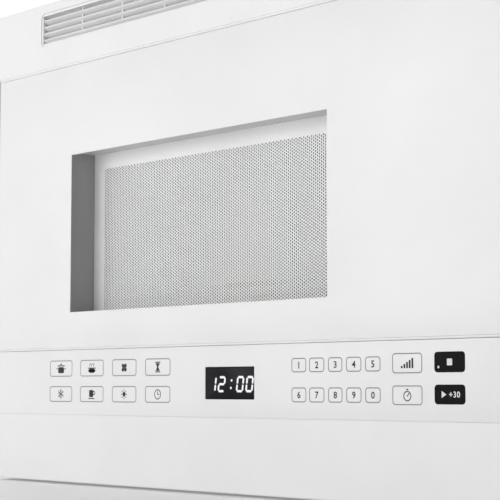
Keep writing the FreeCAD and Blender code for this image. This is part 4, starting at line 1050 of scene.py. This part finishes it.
@dataclass
class WindowScreen:
    """The perforated screen: staggered columns of round holes inside a plain border, in three parts."""

    x: Span = (-206.1, 112.8)
    y: Span = (-374.2, -373.6)
    z: Span = (122.2, 279.2)
    pitch_x: float = 1.966
    pitch_z: float = 2.26
    hole_r: float = 0.72
    hole_steps: int = 10
    rows: int = 53
    left: float = -180.4
    bottom: float = 134.15
    pairs: tuple[int, int, int] = (23, 22, 23)

    def build(self) -> None:
        """Models the three parts from copies of one pair of columns."""
        pair = self.column_pair()
        # The white, 0.93 against the screen_steel slot's 0.80, is a lighter copy of the screen's paint:
        # painted light that lifts the screen in the shade of the window's recess.
        white = ScreenPaint("screen_white", colour=(0.93, 0.93, 0.927, 1.0), relief=Relief.ROLLER_COAT)
        start = self.left
        for side, count in zip(Side, self.pairs):
            part = self.part(pair, start, count, side)
            start += count * 2 * self.pitch_x
            finish_piece(part, "door", "screen_steel", ("door_screen",), white)
        bpy.data.objects.remove(pair)

    def cell(self) -> Piece:
        """One hole in its plate, with a corner halfway up each side for the next column to join.

        Returns:
            The cell, as a flat sheet.
        """
        x = (self.left, self.left + self.pitch_x)
        z = (self.bottom, self.bottom + self.pitch_z)
        middle = metres(self.left + self.pitch_x / 2, self.y[0], self.bottom + self.pitch_z / 2)
        cell = added("screen_cell", bpy.ops.mesh.primitive_plane_add, size=MM, location=middle,
                     rotation=UPRIGHT)
        settle()
        with editing(cell):
            take_all()
            bpy.ops.transform.resize(value=(self.pitch_x, 1.0, self.pitch_z), center_override=middle)
            pick(cell, Pick.EDGE, lambda p, way: abs(way.z) > MOSTLY)
            bpy.ops.mesh.subdivide(number_cuts=1)
            bpy.ops.mesh.select_mode(type="FACE")
            take_all()
            bpy.ops.mesh.delete(type="ONLY_FACE")
            pick(cell, Pick.EDGE, lambda p, way: between(p.x, grown(x, -MARGIN))
                 and between(p.z, grown(z, -MARGIN)))
            bpy.ops.mesh.delete(type="EDGE")
            bpy.ops.mesh.select_all(action="DESELECT")
            bpy.ops.mesh.primitive_circle_add(vertices=self.hole_steps, radius=self.hole_r * MM,
                                              location=middle, rotation=UPRIGHT)
            take_all()
            bpy.ops.mesh.fill(use_beauty=True)
            face_front(cell)
        return cell

    def column_pair(self) -> Piece:
        """Two columns half a pitch apart: the second is the first turned half round.

        Returns:
            The pair, as a flat sheet.
        """
        column = self.cell()
        repeat(column, self.rows, metres(0.0, 0.0, self.pitch_z))
        top = self.bottom + self.rows * self.pitch_z
        with editing(column):
            middle = metres(self.left + self.pitch_x / 2, self.y[0], top + self.pitch_z / 4)
            bpy.ops.mesh.primitive_plane_add(size=MM, location=middle, rotation=UPRIGHT)
            bpy.ops.transform.resize(value=(self.pitch_x, 1.0, self.pitch_z / 2), center_override=middle)
        other = copied(column)
        turned_about = metres(self.left + self.pitch_x, self.y[0], (self.bottom + top + self.pitch_z / 2) / 2)
        with editing(other):
            take_all()
            bpy.ops.transform.rotate(value=math.pi, orient_axis="Y", center_override=turned_about)
        pair = joined("screen_columns", [column, other])
        with editing(pair):
            take_all()
            bpy.ops.mesh.remove_doubles(threshold=WELD)
            face_front(pair)
        return pair

    def part(self, pair: Piece, start: float, count: int, side: Side) -> Piece:
        """One part of the screen, with its share of the border.

        Args:
            pair: the pair of columns that is copied.
            start: where the part starts, in mm along X.
            count: how many pairs it has.
            side: which part it is.

        Returns:
            The part.
        """
        part = copied(pair)
        part.name = part.data.name = "window_screen_" + side.value
        part.location.x = (start - self.left) * MM
        settle()
        repeat(part, count, metres(2 * self.pitch_x, 0.0, 0.0))
        top = self.bottom + (self.rows + 0.5) * self.pitch_z
        end = start + count * 2 * self.pitch_x
        ends = {Side.LEFT: [(0, start, self.x[0])], Side.RIGHT: [(0, end, self.x[1])]}
        with editing(part):
            for axis, edge, limit in (*ends.get(side, []), (2, self.bottom, self.z[0]), (2, top, self.z[1])):
                pick(part, Pick.EDGE, lambda p, way: near(p[axis], edge) and abs(way[axis]) < HARDLY)
                shift = on_axis(axis, (limit - edge) * MM)
                bpy.ops.mesh.extrude_region_move(TRANSFORM_OT_translate={"value": shift})
            face_front(part)
        thicken(part, length(self.y))
        return part


@dataclass(frozen=True)
class Lip:
    """A lip that stands a little behind the faces on both sides of a seam."""

    name: str
    x: Span
    y: Span
    z: Span
    body: str


@dataclass
class SeamLips:
    """The lips in the seams round the door and under the key strip."""

    edge: float = 0.12
    lips: tuple[Lip, ...] = (
        Lip("head_lip_bottom", (-297.0, 297.0), (-399.3, -397.6), (339.4, 341.4), "cabinet"),
        Lip("door_lip_bottom", (-294.0, 251.0), (-399.0, -396.9), (106.1, 108.0), "door"),
        Lip("door_lip_left", (-296.6, -294.5), (-397.8, -396.3), (108.2, 338.9), "door"),
        Lip("strip_lip_bottom", (-302.0, 302.0), (-399.7, -398.6), (53.85, 54.6), "cabinet"),
    )

    def build(self) -> None:
        """Models each lip with its front edges softened."""
        for lip in self.lips:
            piece = start_block(lip.name, lip.x, lip.y, lip.z)
            bevel_edges(piece, self.edge, 2, lambda p, way: near(p.y, lip.y[0]))
            finish_piece(piece, lip.body, "white_moulding")


@dataclass
class LatchSpring:
    """The spring over the latch bar, which shortens on the real door as the bar rises; here it keeps one
    length.
    """

    x: float = 225.0
    y: float = -364.9
    z: Span = (298.6, 318.0)
    mean_r: float = 3.0
    wire: float = 1.2
    wire_sides: int = 10
    turns: int = 6
    turn_steps: int = 24
    travel: float = 5.0

    def build(self) -> None:
        """Winds the wire and closes its ends."""
        long = length(self.z)
        spring = added("latch_coil", bpy.ops.mesh.primitive_circle_add, vertices=self.wire_sides,
                       radius=self.wire / 2 * MM, location=metres(self.mean_r, 0, 0), rotation=UPRIGHT)
        settle()
        modify(spring, "SCREW", axis="Z", iterations=self.turns, steps=self.turn_steps,
               render_steps=self.turn_steps, screw_offset=(long - self.wire) / self.turns * MM)
        spring.location = metres(self.x, self.y, self.z[0] + self.wire / 2)
        settle()
        with editing(spring):
            take_all()
            bpy.ops.mesh.fill_holes(sides=0)
            bpy.ops.mesh.normals_make_consistent(inside=False)
        finish_piece(spring, "door", "spring_steel", ("latch_spring",))
        metres(self.x, self.y, self.z[1])
        (long - self.travel) / long
        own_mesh(spring)


# ---- key strip ----


class Stencil:
    """Flat marks on one upright plane, drawn from a movable origin and then given their thickness."""

    # Steps of a rounded corner, and the radius of a line's end as a part of its width.
    CORNER_STEPS = 4
    ROUND_END = 0.45

    # Steps, added weight and spacing of the numerals' outlines.
    LETTER_STEPS = 3
    LETTER_WEIGHT = 0.022
    LETTER_GAP = 1.12

    def __init__(self, name: str, front: float, back: float) -> None:
        """Starts an empty piece.

        Args:
            name: the piece's name.
            front: where its front is, in mm along Y.
            back: where its back is.
        """
        self.front = front
        self.thickness = back - front
        self.origin = (0.0, 0.0)
        self.texts: list[Piece] = []
        self.piece = added(name, bpy.ops.mesh.primitive_plane_add, size=MM)
        bpy.ops.object.mode_set(mode="EDIT")
        bpy.ops.mesh.delete(type="VERT")
        bpy.ops.mesh.select_mode(type="VERT")

    def at(self, x: float, z: float) -> Triple:
        """A place of the drawing, as Blender takes it."""
        return metres(self.origin[0] + x, self.front, self.origin[1] + z)

    def plate(self, x: Span, z: Span, corner: float = 0.0, tilt: float = 0.0) -> None:
        """A filled rectangle.

        Args:
            x: its span along X.
            z: its span along Z.
            corner: the radius of its corners.
            tilt: how far it is turned about its middle, in degrees, anticlockwise.
        """
        middle = self.at(centre(x), centre(z))
        bpy.ops.mesh.primitive_plane_add(size=MM, location=middle, rotation=UPRIGHT)
        bpy.ops.transform.resize(value=(length(x), 1.0, length(z)), center_override=middle)
        if corner:
            bpy.ops.mesh.bevel(offset=corner * MM, segments=self.CORNER_STEPS, affect="VERTICES")
        if tilt:
            bpy.ops.transform.rotate(value=math.radians(tilt), orient_axis="Y", center_override=middle)

    def outline(self, x: Span, z: Span, corner: float, width: float) -> None:
        """A rounded rectangle drawn as a line of a width in mm."""
        self.plate(x, z, corner)
        self._hollow(width)

    def disc(self, x: float, z: float, radius: float, steps: int = 16, tilt: float = 0.0) -> None:
        """A filled circle, or a polygon with few steps that points up unless tilted clockwise."""
        turn = (UPRIGHT[0], math.radians(tilt), 0.0)
        bpy.ops.mesh.primitive_circle_add(vertices=steps, radius=radius * MM, fill_type="NGON",
                                          location=self.at(x, z), rotation=turn)

    def ring(self, x: float, z: float, radius: float, width: float, steps: int = 20) -> None:
        """A circle drawn as a line of a width in mm."""
        self.disc(x, z, radius, steps)
        self._hollow(width)

    def line(self, a: tuple[float, float], b: tuple[float, float], width: float) -> None:
        """A straight line with round ends.

        Args:
            a: its start.
            b: its end.
            width: its width in mm.
        """
        x, z = (a[0] + b[0]) / 2, (a[1] + b[1]) / 2
        tilt = math.degrees(math.atan2(b[1] - a[1], b[0] - a[0]))
        self.plate(grown((x, x), (math.dist(a, b) + width) / 2), grown((z, z), width / 2),
                   width * self.ROUND_END, tilt)

    def text(self, words: str, x: float, z: float, height: float, wide: float = 1.0) -> None:
        """Numerals with their middle at a place.

        Args:
            words: the numerals.
            x: their middle along X.
            z: their middle along Z.
            height: their height in mm.
            wide: how much wider they are than the plain font.
        """
        bpy.ops.object.mode_set(mode="OBJECT")
        letters = added("numerals", bpy.ops.object.text_add).data
        letters.body = words
        letters.resolution_u = self.LETTER_STEPS
        letters.offset = self.LETTER_WEIGHT
        letters.space_character = self.LETTER_GAP
        bpy.ops.object.convert(target="MESH")
        drawn = bpy.context.active_object
        corners = [Vector(c) for c in drawn.bound_box]
        low = Vector(map(min, zip(*corners)))
        high = Vector(map(max, zip(*corners)))
        scale = height * MM / (high.y - low.y)
        drawn.scale = (scale * wide, scale, scale)
        drawn.rotation_euler = UPRIGHT
        middle = (low + high) / 2
        place = self.at(x, z)
        drawn.location = (place[0] - middle.x * scale * wide, place[1], place[2] - middle.y * scale)
        settle()
        self.texts.append(drawn)
        alone(self.piece)
        bpy.ops.object.mode_set(mode="EDIT")

    def _hollow(self, width: float) -> None:
        """Insets the selected face and removes its middle."""
        bpy.ops.mesh.inset(thickness=width * MM, use_boundary=True)
        bpy.ops.mesh.delete(type="FACE")

    def done(self, finish: Finish) -> None:
        """Joins the marks, gives them their thickness and finishes them.

        Args:
            finish: their finish.
        """
        bpy.ops.object.mode_set(mode="OBJECT")
        piece = joined(self.piece.name, [self.piece, *self.texts])
        thicken(piece, self.thickness)
        finish_piece(piece, "cabinet", finish=finish)


class Mark(Enum):
    """Wordless marks on the keys, each named as the method that draws it."""

    POT = "pot"
    BOWL = "bowl"
    FAN = "fan"
    HOURGLASS = "hourglass"
    LEVELS = "levels"
    FLAKE = "flake"
    CUP = "cup"
    LAMP = "lamp"
    CLOCK = "clock"
    STOPWATCH = "stopwatch"


class KeyMarks(Stencil):
    """A stencil that also draws the marks, each about 6.5 mm high before it is enlarged."""

    # Widths of a line in mm, the angle between a flake's arm and its twigs, and how a drawn mark is enlarged.
    PEN = 0.55
    FINE_PEN = 0.44
    TWIG = math.degrees(0.45)
    SCALE = 1.25
    REACH = 7.0

    def draw(self, mark: Mark, x: float, z: float) -> None:
        """Draws one mark and enlarges it.

        Args:
            mark: which one.
            x: its middle in mm along X.
            z: its middle in mm along Z.
        """
        self.origin = (x, z)
        getattr(self, mark.value)()
        pick(self.piece, Pick.VERT, lambda p, n: math.hypot(p.x - x, p.z - z) < self.REACH)
        bpy.ops.transform.resize(value=(self.SCALE, 1.0, self.SCALE), center_override=self.at(0.0, 0.0))
        self.origin = (0.0, 0.0)

    def pot(self) -> None:
        """A pot with a lid and two handles."""
        self.plate((-3.2, 3.2), (-3.0, 0.9), 1.1)
        self.plate((-3.9, 3.9), (1.4, 2.1), 0.3)
        self.plate((-0.9, 0.9), (2.4, 3.2), 0.3)
        for x in (-4.3, 4.3):
            self.plate((x - 0.6, x + 0.6), (-0.4, 0.3), 0.2)

    def bowl(self) -> None:
        """A bowl with three lines of steam."""
        self.plate((-3.6, 3.6), (-3.0, -0.3), 1.9)
        self.plate((-4.1, 4.1), (-0.3, 0.3), 0.2)
        for x in (-1.9, 0.0, 1.9):
            self.line((x - 0.25, 1.2), (x + 0.25, 2.9), self.PEN)

    def fan(self) -> None:
        """A fan with four blades."""
        for angle in range(45, 405, 90):
            self.disc(*polar(1.75, angle), 1.25, 12)
        self.disc(0.0, 0.0, 0.7, 12)

    def hourglass(self) -> None:
        """An hourglass between two bars."""
        self.disc(0.0, 1.25, 2.2, 3, 180.0)
        self.disc(0.0, -1.25, 2.2, 3)
        for z in (-2.9, 2.9):
            self.plate((-2.4, 2.4), (z - 0.3, z + 0.3), 0.2)

    def flake(self) -> None:
        """A snowflake of three crossed lines with short twigs."""
        for angle in range(30, 210, 60):
            self.line(polar(-3.0, angle), polar(3.0, angle), self.PEN)
            for side in (-1, 1):
                self.line(polar(side * 1.7, angle), polar(side * 2.5, angle + self.TWIG), self.FINE_PEN)

    def cup(self) -> None:
        """A cup with its handle and saucer."""
        self.plate((-2.6, 1.6), (-1.9, 2.6), 0.9)
        self.ring(2.3, 0.7, 1.3, self.PEN, 14)
        self.plate((-3.4, 3.0), (-3.1, -2.5), 0.2)

    def lamp(self) -> None:
        """A lamp with rays."""
        self.disc(0.0, 0.0, 1.5)
        for angle in range(0, 360, 45):
            self.line(polar(2.1, angle), polar(2.9, angle), self.FINE_PEN)

    def clock(self) -> None:
        """A clock face with two hands."""
        self.ring(0.0, 0.0, 3.1, self.PEN)
        self.line((0.0, 0.0), (0.0, 1.9), self.PEN)
        self.line((0.0, 0.0), (1.4, 0.0), self.PEN)

    def levels(self) -> None:
        """Bars that rise from left to right."""
        for step in range(5):
            left = step * 1.8 - 4.2
            self.plate((left, left + 1.2), (-2.6, step - 1.4), 0.2)

    def stopwatch(self) -> None:
        """A stopwatch with its button and hand."""
        self.ring(0.0, -0.4, 2.7, self.PEN)
        self.plate((-0.8, 0.8), (2.7, 3.3), 0.2)
        self.line((0.0, -0.4), (1.1, 0.9), self.PEN)


@dataclass
class KeyStrip:
    """The printed film over the keys: outlines, numerals, marks and the two black keys."""

    x: Span = (-303.0, 303.0)
    y: Span = (-399.94, -399.4)
    z: Span = (54.2, 105.8)
    display_gap: float = 0.15
    edge: float = 0.2
    corner: float = 2.4
    line: float = 0.72
    print_front: float = -399.97
    top_front: float = -399.995
    large_rows: tuple[Span, Span] = ((84.5, 97.6), (64.2, 76.8))
    number_rows: tuple[Span, Span] = ((85.9, 95.8), (65.4, 75.6))
    black_rows: tuple[Span, Span] = ((84.9, 97.9), (64.9, 77.3))
    large_columns: tuple[Span, ...] = ((-218.3, -188.0), (-177.3, -147.0), (-136.0, -106.1), (-95.3, -65.7))
    number_columns: tuple[Span, ...] = (
        (63.7, 78.0), (80.8, 95.2), (98.8, 112.0), (115.5, 129.3), (132.7, 146.3))
    power_column: Span = (156.5, 182.0)
    black_column: Span = (192.0, 216.9)
    marks: tuple[tuple[Mark, ...], ...] = (
        (Mark.POT, Mark.BOWL, Mark.FAN, Mark.HOURGLASS, Mark.LEVELS),
        (Mark.FLAKE, Mark.CUP, Mark.LAMP, Mark.CLOCK, Mark.STOPWATCH))
    numerals: tuple[str, str] = ("12345", "67890")
    numeral_h: float = 4.7
    numeral_wide: float = 1.05
    start_numeral_h: float = 3.9

    def build(self) -> None:
        """Models the film and its prints."""
        self.film()
        self.outlines()
        self.legends()
        self.black_keys()

    def film(self) -> None:
        """The film: a thin plate with the clock's opening and softened edges."""
        film = start_block("keypad_film", self.x, self.y, self.z)
        open_window(film, grown(DISPLAY_X, self.display_gap), grown(DISPLAY_Z, self.display_gap))
        bevel_edges(film, self.edge, 2, lambda p, way: near(p.y, self.y[0]) and (
            near(p.x, *self.x) or near(p.z, *self.z)))
        finish_piece(film, "cabinet", "white_film", ("keypad_overlay",))

    def outlines(self) -> None:
        """The grey outlines of the keys."""
        stencil = Stencil("key_outlines", self.print_front, self.y[0])
        for columns, rows in ((self.large_columns, self.large_rows), (self.number_columns, self.number_rows),
                              ((self.power_column,), self.large_rows)):
            for z in rows:
                for x in columns:
                    stencil.outline(x, z, self.corner, self.line)
        stencil.done(Ink("outline_ink", grey(0.25)))

    def legends(self) -> None:
        """The dark numerals and marks."""
        stencil = KeyMarks("key_legends", self.print_front, self.y[0])
        for marks, z in zip(self.marks, self.large_rows):
            for mark, x in zip(marks, (*self.large_columns, self.power_column)):
                stencil.draw(mark, centre(x), centre(z))
        for numerals, z in zip(self.numerals, self.number_rows):
            for numeral, x in zip(numerals, self.number_columns):
                stencil.text(numeral, centre(x), centre(z), self.numeral_h, self.numeral_wide)
        stencil.done(Ink("legend_ink", grey(0.022)))

    def black_keys(self) -> None:
        """The stop and start keys: black blocks, and light marks on them."""
        blocks = Stencil("black_keys", self.print_front, self.y[0])
        for z in self.black_rows:
            blocks.plate(self.black_column, z, self.corner)
        blocks.done(Ink("black_ink", grey(0.006), gloss=0.05))
        marks = Stencil("black_key_marks", self.top_front, self.print_front)
        middle = centre(self.black_column)
        upper, lower = self.black_rows
        marks.origin = (middle, centre(upper))
        marks.plate((-2.1, 2.1), (-2.1, 2.1), 0.4)
        marks.origin = (self.black_column[0], upper[0])
        marks.disc(3.4, 3.4, 0.8)
        marks.origin = (middle, centre(lower))
        marks.disc(-5.4, 0.0, 2.6, 3, 90.0)
        marks.text("+30", 3.8, 0.0, self.start_numeral_h)
        marks.done(Ink("light_ink", grey(0.72)))


class Segment(Enum):
    """The seven strokes of a digit: start and end in half widths and half heights."""

    TOP = ((-1, 1), (1, 1))
    UPPER_RIGHT = ((1, 1), (1, 0))
    LOWER_RIGHT = ((1, 0), (1, -1))
    BOTTOM = ((-1, -1), (1, -1))
    LOWER_LEFT = ((-1, 0), (-1, -1))
    UPPER_LEFT = ((-1, 1), (-1, 0))
    CENTRE = ((-1, 0), (1, 0))


# The strokes that each digit lights.
STROKES = {
    "0": (Segment.TOP, Segment.UPPER_RIGHT, Segment.LOWER_RIGHT, Segment.BOTTOM, Segment.LOWER_LEFT,
          Segment.UPPER_LEFT),
    "1": (Segment.UPPER_RIGHT, Segment.LOWER_RIGHT),
    "2": (Segment.TOP, Segment.UPPER_RIGHT, Segment.CENTRE, Segment.LOWER_LEFT, Segment.BOTTOM),
}


@dataclass
class Clock:
    """The smoked cover and the slanted digits on it, which read 12:00."""

    y: Span = (-399.94, -397.4)
    digit_front: float = -399.98
    corner: float = 0.8
    edge: float = 0.2
    middle_z: float = 78.0
    half_w: float = 3.0
    half_h: float = 5.0
    stroke: float = 1.65
    slant: float = 0.15
    gap: float = 1.15
    colon_x: float = 2.0
    colon_h: float = 2.7
    colon_size: float = 0.55
    places: tuple[float, ...] = (-17.9, -8.2, 11.4, 21.3)

    def build(self) -> None:
        """Models the cover and the digits."""
        cover = start_block("clock_cover", DISPLAY_X, self.y, DISPLAY_Z)
        bevel_edges(cover, self.corner, 4, lambda p, way: abs(way.y) > MOSTLY)
        bevel_edges(cover, self.edge, 2, lambda p, way: near(p.y, self.y[0]))
        finish_piece(cover, "cabinet", "dark_window", ("display_window",))
        self.digits()

    def slanted(self, x: float, z: float) -> tuple[float, float]:
        """A point of the upright figure, leant to the right."""
        return x + (z - self.middle_z) * self.slant, z

    def digits(self) -> None:
        """The lit strokes and the colon."""
        stencil = Stencil("clock_digits", self.digit_front, self.y[0])
        for digit, middle in zip("1200", self.places):
            for segment in STROKES[digit]:
                a, b = (Vector((middle + u * self.half_w, self.middle_z + w * self.half_h))
                        for u, w in segment.value)
                way = (b - a).normalized() * self.gap
                stencil.line(self.slanted(*(a + way)), self.slanted(*(b - way)), self.stroke)
        for side in (-1, 1):
            place = self.slanted(self.colon_x, self.middle_z + side * self.colon_h)
            stencil.disc(*place, self.stroke * self.colon_size)
        stencil.done(Glow("clock_glow"))


# ---- underside ----


@dataclass
class FilterMesh:
    """The diamond mesh in the mouth of each grease filter."""

    flange: float = 8.3
    cell: float = 6.4
    cell_shape: float = 0.62
    wire: float = 0.7
    layers: tuple[float, ...] = (1.3, 2.5)

    def build(self) -> None:
        """Models the mesh of both filters."""
        bright = DrawnMetal("mesh_wire", streak=EVEN)
        for side in (Side.LEFT, Side.RIGHT):
            sheets = [self.sheet(side, index, rise) for index, rise in enumerate(self.layers)]
            mesh = joined("filter_mesh_" + side.value, sheets)
            finish_piece(mesh, "filter_" + side.value, "filter_mesh", finish=bright)

    def sheet(self, side: Side, index: int, rise: float) -> Piece:
        """One sheet of expanded metal: a grid crossed, its own lines dissolved, and the rest made wire.

        Args:
            side: left or right.
            index: the sheet's number, which shifts its cells.
            rise: its height in mm above the filter's face.

        Returns:
            The sheet.
        """
        low, high = (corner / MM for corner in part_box("grease_filter_" + side.value))
        x, y = (grown((low[axis], high[axis]), -self.flange) for axis in (0, 1))
        sheet = added("filter_sheet", bpy.ops.mesh.primitive_grid_add, size=MM,
                      x_subdivisions=round(length(x) / self.cell) + index,
                      y_subdivisions=round(length(y) / (self.cell * self.cell_shape)) + index,
                      location=metres(centre(x), centre(y), low.z + rise))
        sheet.scale = (length(x), length(y), 1.0)
        settle()
        with editing(sheet):
            take_all()
            bpy.ops.mesh.poke()
            pick(sheet, Pick.EDGE, lambda p, way: max(abs(way.x), abs(way.y)) > STRAIGHT
                 and between(p.x, grown(x, -MARGIN)) and between(p.y, grown(y, -MARGIN)))
            bpy.ops.mesh.dissolve_edges(use_verts=False)
        modify(sheet, "WIREFRAME", thickness=self.wire * MM, use_even_offset=False, use_boundary=True)
        return sheet


# ---- studio ----


@dataclass(frozen=True)
class Lamp:
    """A soft area lamp that faces the object."""

    name: str
    place: Triple
    size: float
    power: float


@dataclass
class Studio:
    """Camera, floor, soft lamps and a white surround; its sizes are in metres."""

    camera_place: Triple = (0.8441, -1.1668, 0.0745)
    camera_turn: Triple = (95.02, 0.0, 47.0)
    lens: float = 113.98
    sensor: float = 36.0
    nearest: float = 0.05
    floor_z: float = -0.002
    floor_size: float = 40.0
    floor_glow: float = 0.1
    shadow_reach: Span = (0.7, 2.4)
    ambient: float = 0.30
    aim: Triple = (0.0, -0.2, 0.2)
    lamps: tuple[Lamp, ...] = (
        Lamp("key", (-0.95, -2.6, 0.55), 2.1, 36.5),
        Lamp("back_right", (3.0, 1.9, 2.4), 4.2, 92.0),
        Lamp("back_left", (-2.8, 2.5, 2.4), 4.2, 78.0),
    )

    def build(self) -> None:
        """Sets the whole studio."""
        scene = bpy.context.scene
        scene.view_settings.view_transform = "Standard"
        self.camera(scene)
        self.world(scene)
        self.floor()
        for lamp in self.lamps:
            self.light(lamp)

    def camera(self, scene: bpy.types.Scene) -> None:
        """The camera, at the photograph's place and angle.

        Args:
            scene: the scene that looks through it.
        """
        turn = [math.radians(angle) for angle in self.camera_turn]
        camera = added("Camera", bpy.ops.object.camera_add, location=self.camera_place, rotation=turn)
        camera.data.lens = self.lens
        camera.data.sensor_width = self.sensor
        camera.data.clip_start = self.nearest
        scene.camera = camera

    def seen_directly(self, tree: NodeTree) -> Signal:
        """1 for what the camera sees, also through glass and in reflections."""
        path = tree.add("LightPath", output="Is Camera Ray")
        return path.most(path.twin("Is Glossy Ray")).most(path.twin("Is Transmission Ray"))

    def world(self, scene: bpy.types.Scene) -> None:
        """White where it is seen, and a low even light on the object.

        Args:
            scene: the scene that it surrounds.
        """
        scene.world = scene.world or bpy.data.worlds.new("surround")
        tree = NodeTree(scene.world)
        strength = self.seen_directly(tree) * (1.0 - self.ambient) + self.ambient
        tree.output(tree.add("Background", inputs={"Color": grey(1.0), "Strength": strength}), "OutputWorld")

    def floor(self) -> None:
        """The pale floor: it takes the shadow near the object and goes white further off."""
        place = (0.0, 0.0, self.floor_z)
        floor = added("floor", bpy.ops.mesh.primitive_plane_add, size=self.floor_size, location=place)
        settle()
        material = bpy.data.materials.new("pale_floor")
        tree = NodeTree(material)
        distance = tree.add("VectorMath", {"operation": "LENGTH"}, {0: tree.place()}, output="Value")
        far = distance.step(*self.shadow_reach) * self.seen_directly(tree)
        matt = tree.add("BsdfPrincipled", inputs={
            "Base Color": tree.mix(tree.noise(300.0, 3.0), grey(0.9), grey(0.88)), "Roughness": 0.8,
            "Emission Color": grey(1.0), "Emission Strength": self.floor_glow})
        white = tree.add("Emission", inputs={"Color": grey(1.0), "Strength": 1.0})
        top = tree.add("MixShader", inputs={0: far, 1: matt, 2: white})
        below = tree.add("NewGeometry", output="Backfacing")
        clear = tree.add("BsdfTransparent")
        tree.output(tree.add("MixShader", inputs={0: below, 1: top, 2: clear}))
        floor.data.materials.append(material)

    def light(self, lamp: Lamp) -> None:
        """One area lamp turned towards the object.

        Args:
            lamp: its place, size and power.
        """
        light = added(lamp.name, bpy.ops.object.light_add, type="AREA", location=lamp.place)
        light.data.shape = "DISK"
        light.data.size = lamp.size
        light.data.energy = lamp.power
        away = Vector(lamp.place) - Vector(self.aim)
        light.rotation_euler = away.to_track_quat("Z", "Y").to_euler()


# ---- the whole ----


def dress_nodes() -> None:
    """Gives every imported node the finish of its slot, or its own."""
    by_slot = slot_finishes()
    own = node_finishes()
    for row in frame["record"]["subparts"]:
        name = row["node"]
        finish = own.get(name, by_slot[row["material_slot"]])
        for slot in frame["nodes"][name].material_slots:
            slot.material = finish.material()
        log.info("node %s: %s", name, finish.name)


def main() -> None:
    """Builds the studio, dresses the nodes, and models the pieces in order."""
    logging.basicConfig(level=logging.INFO, format="%(message)s")
    Studio().build()
    dress_nodes()
    for maker in (DoorFace(), WindowScreen(), SeamLips(), LatchSpring(), KeyStrip(), Clock(), FilterMesh()):
        maker.build()


if __name__ == "__main__":
    main()
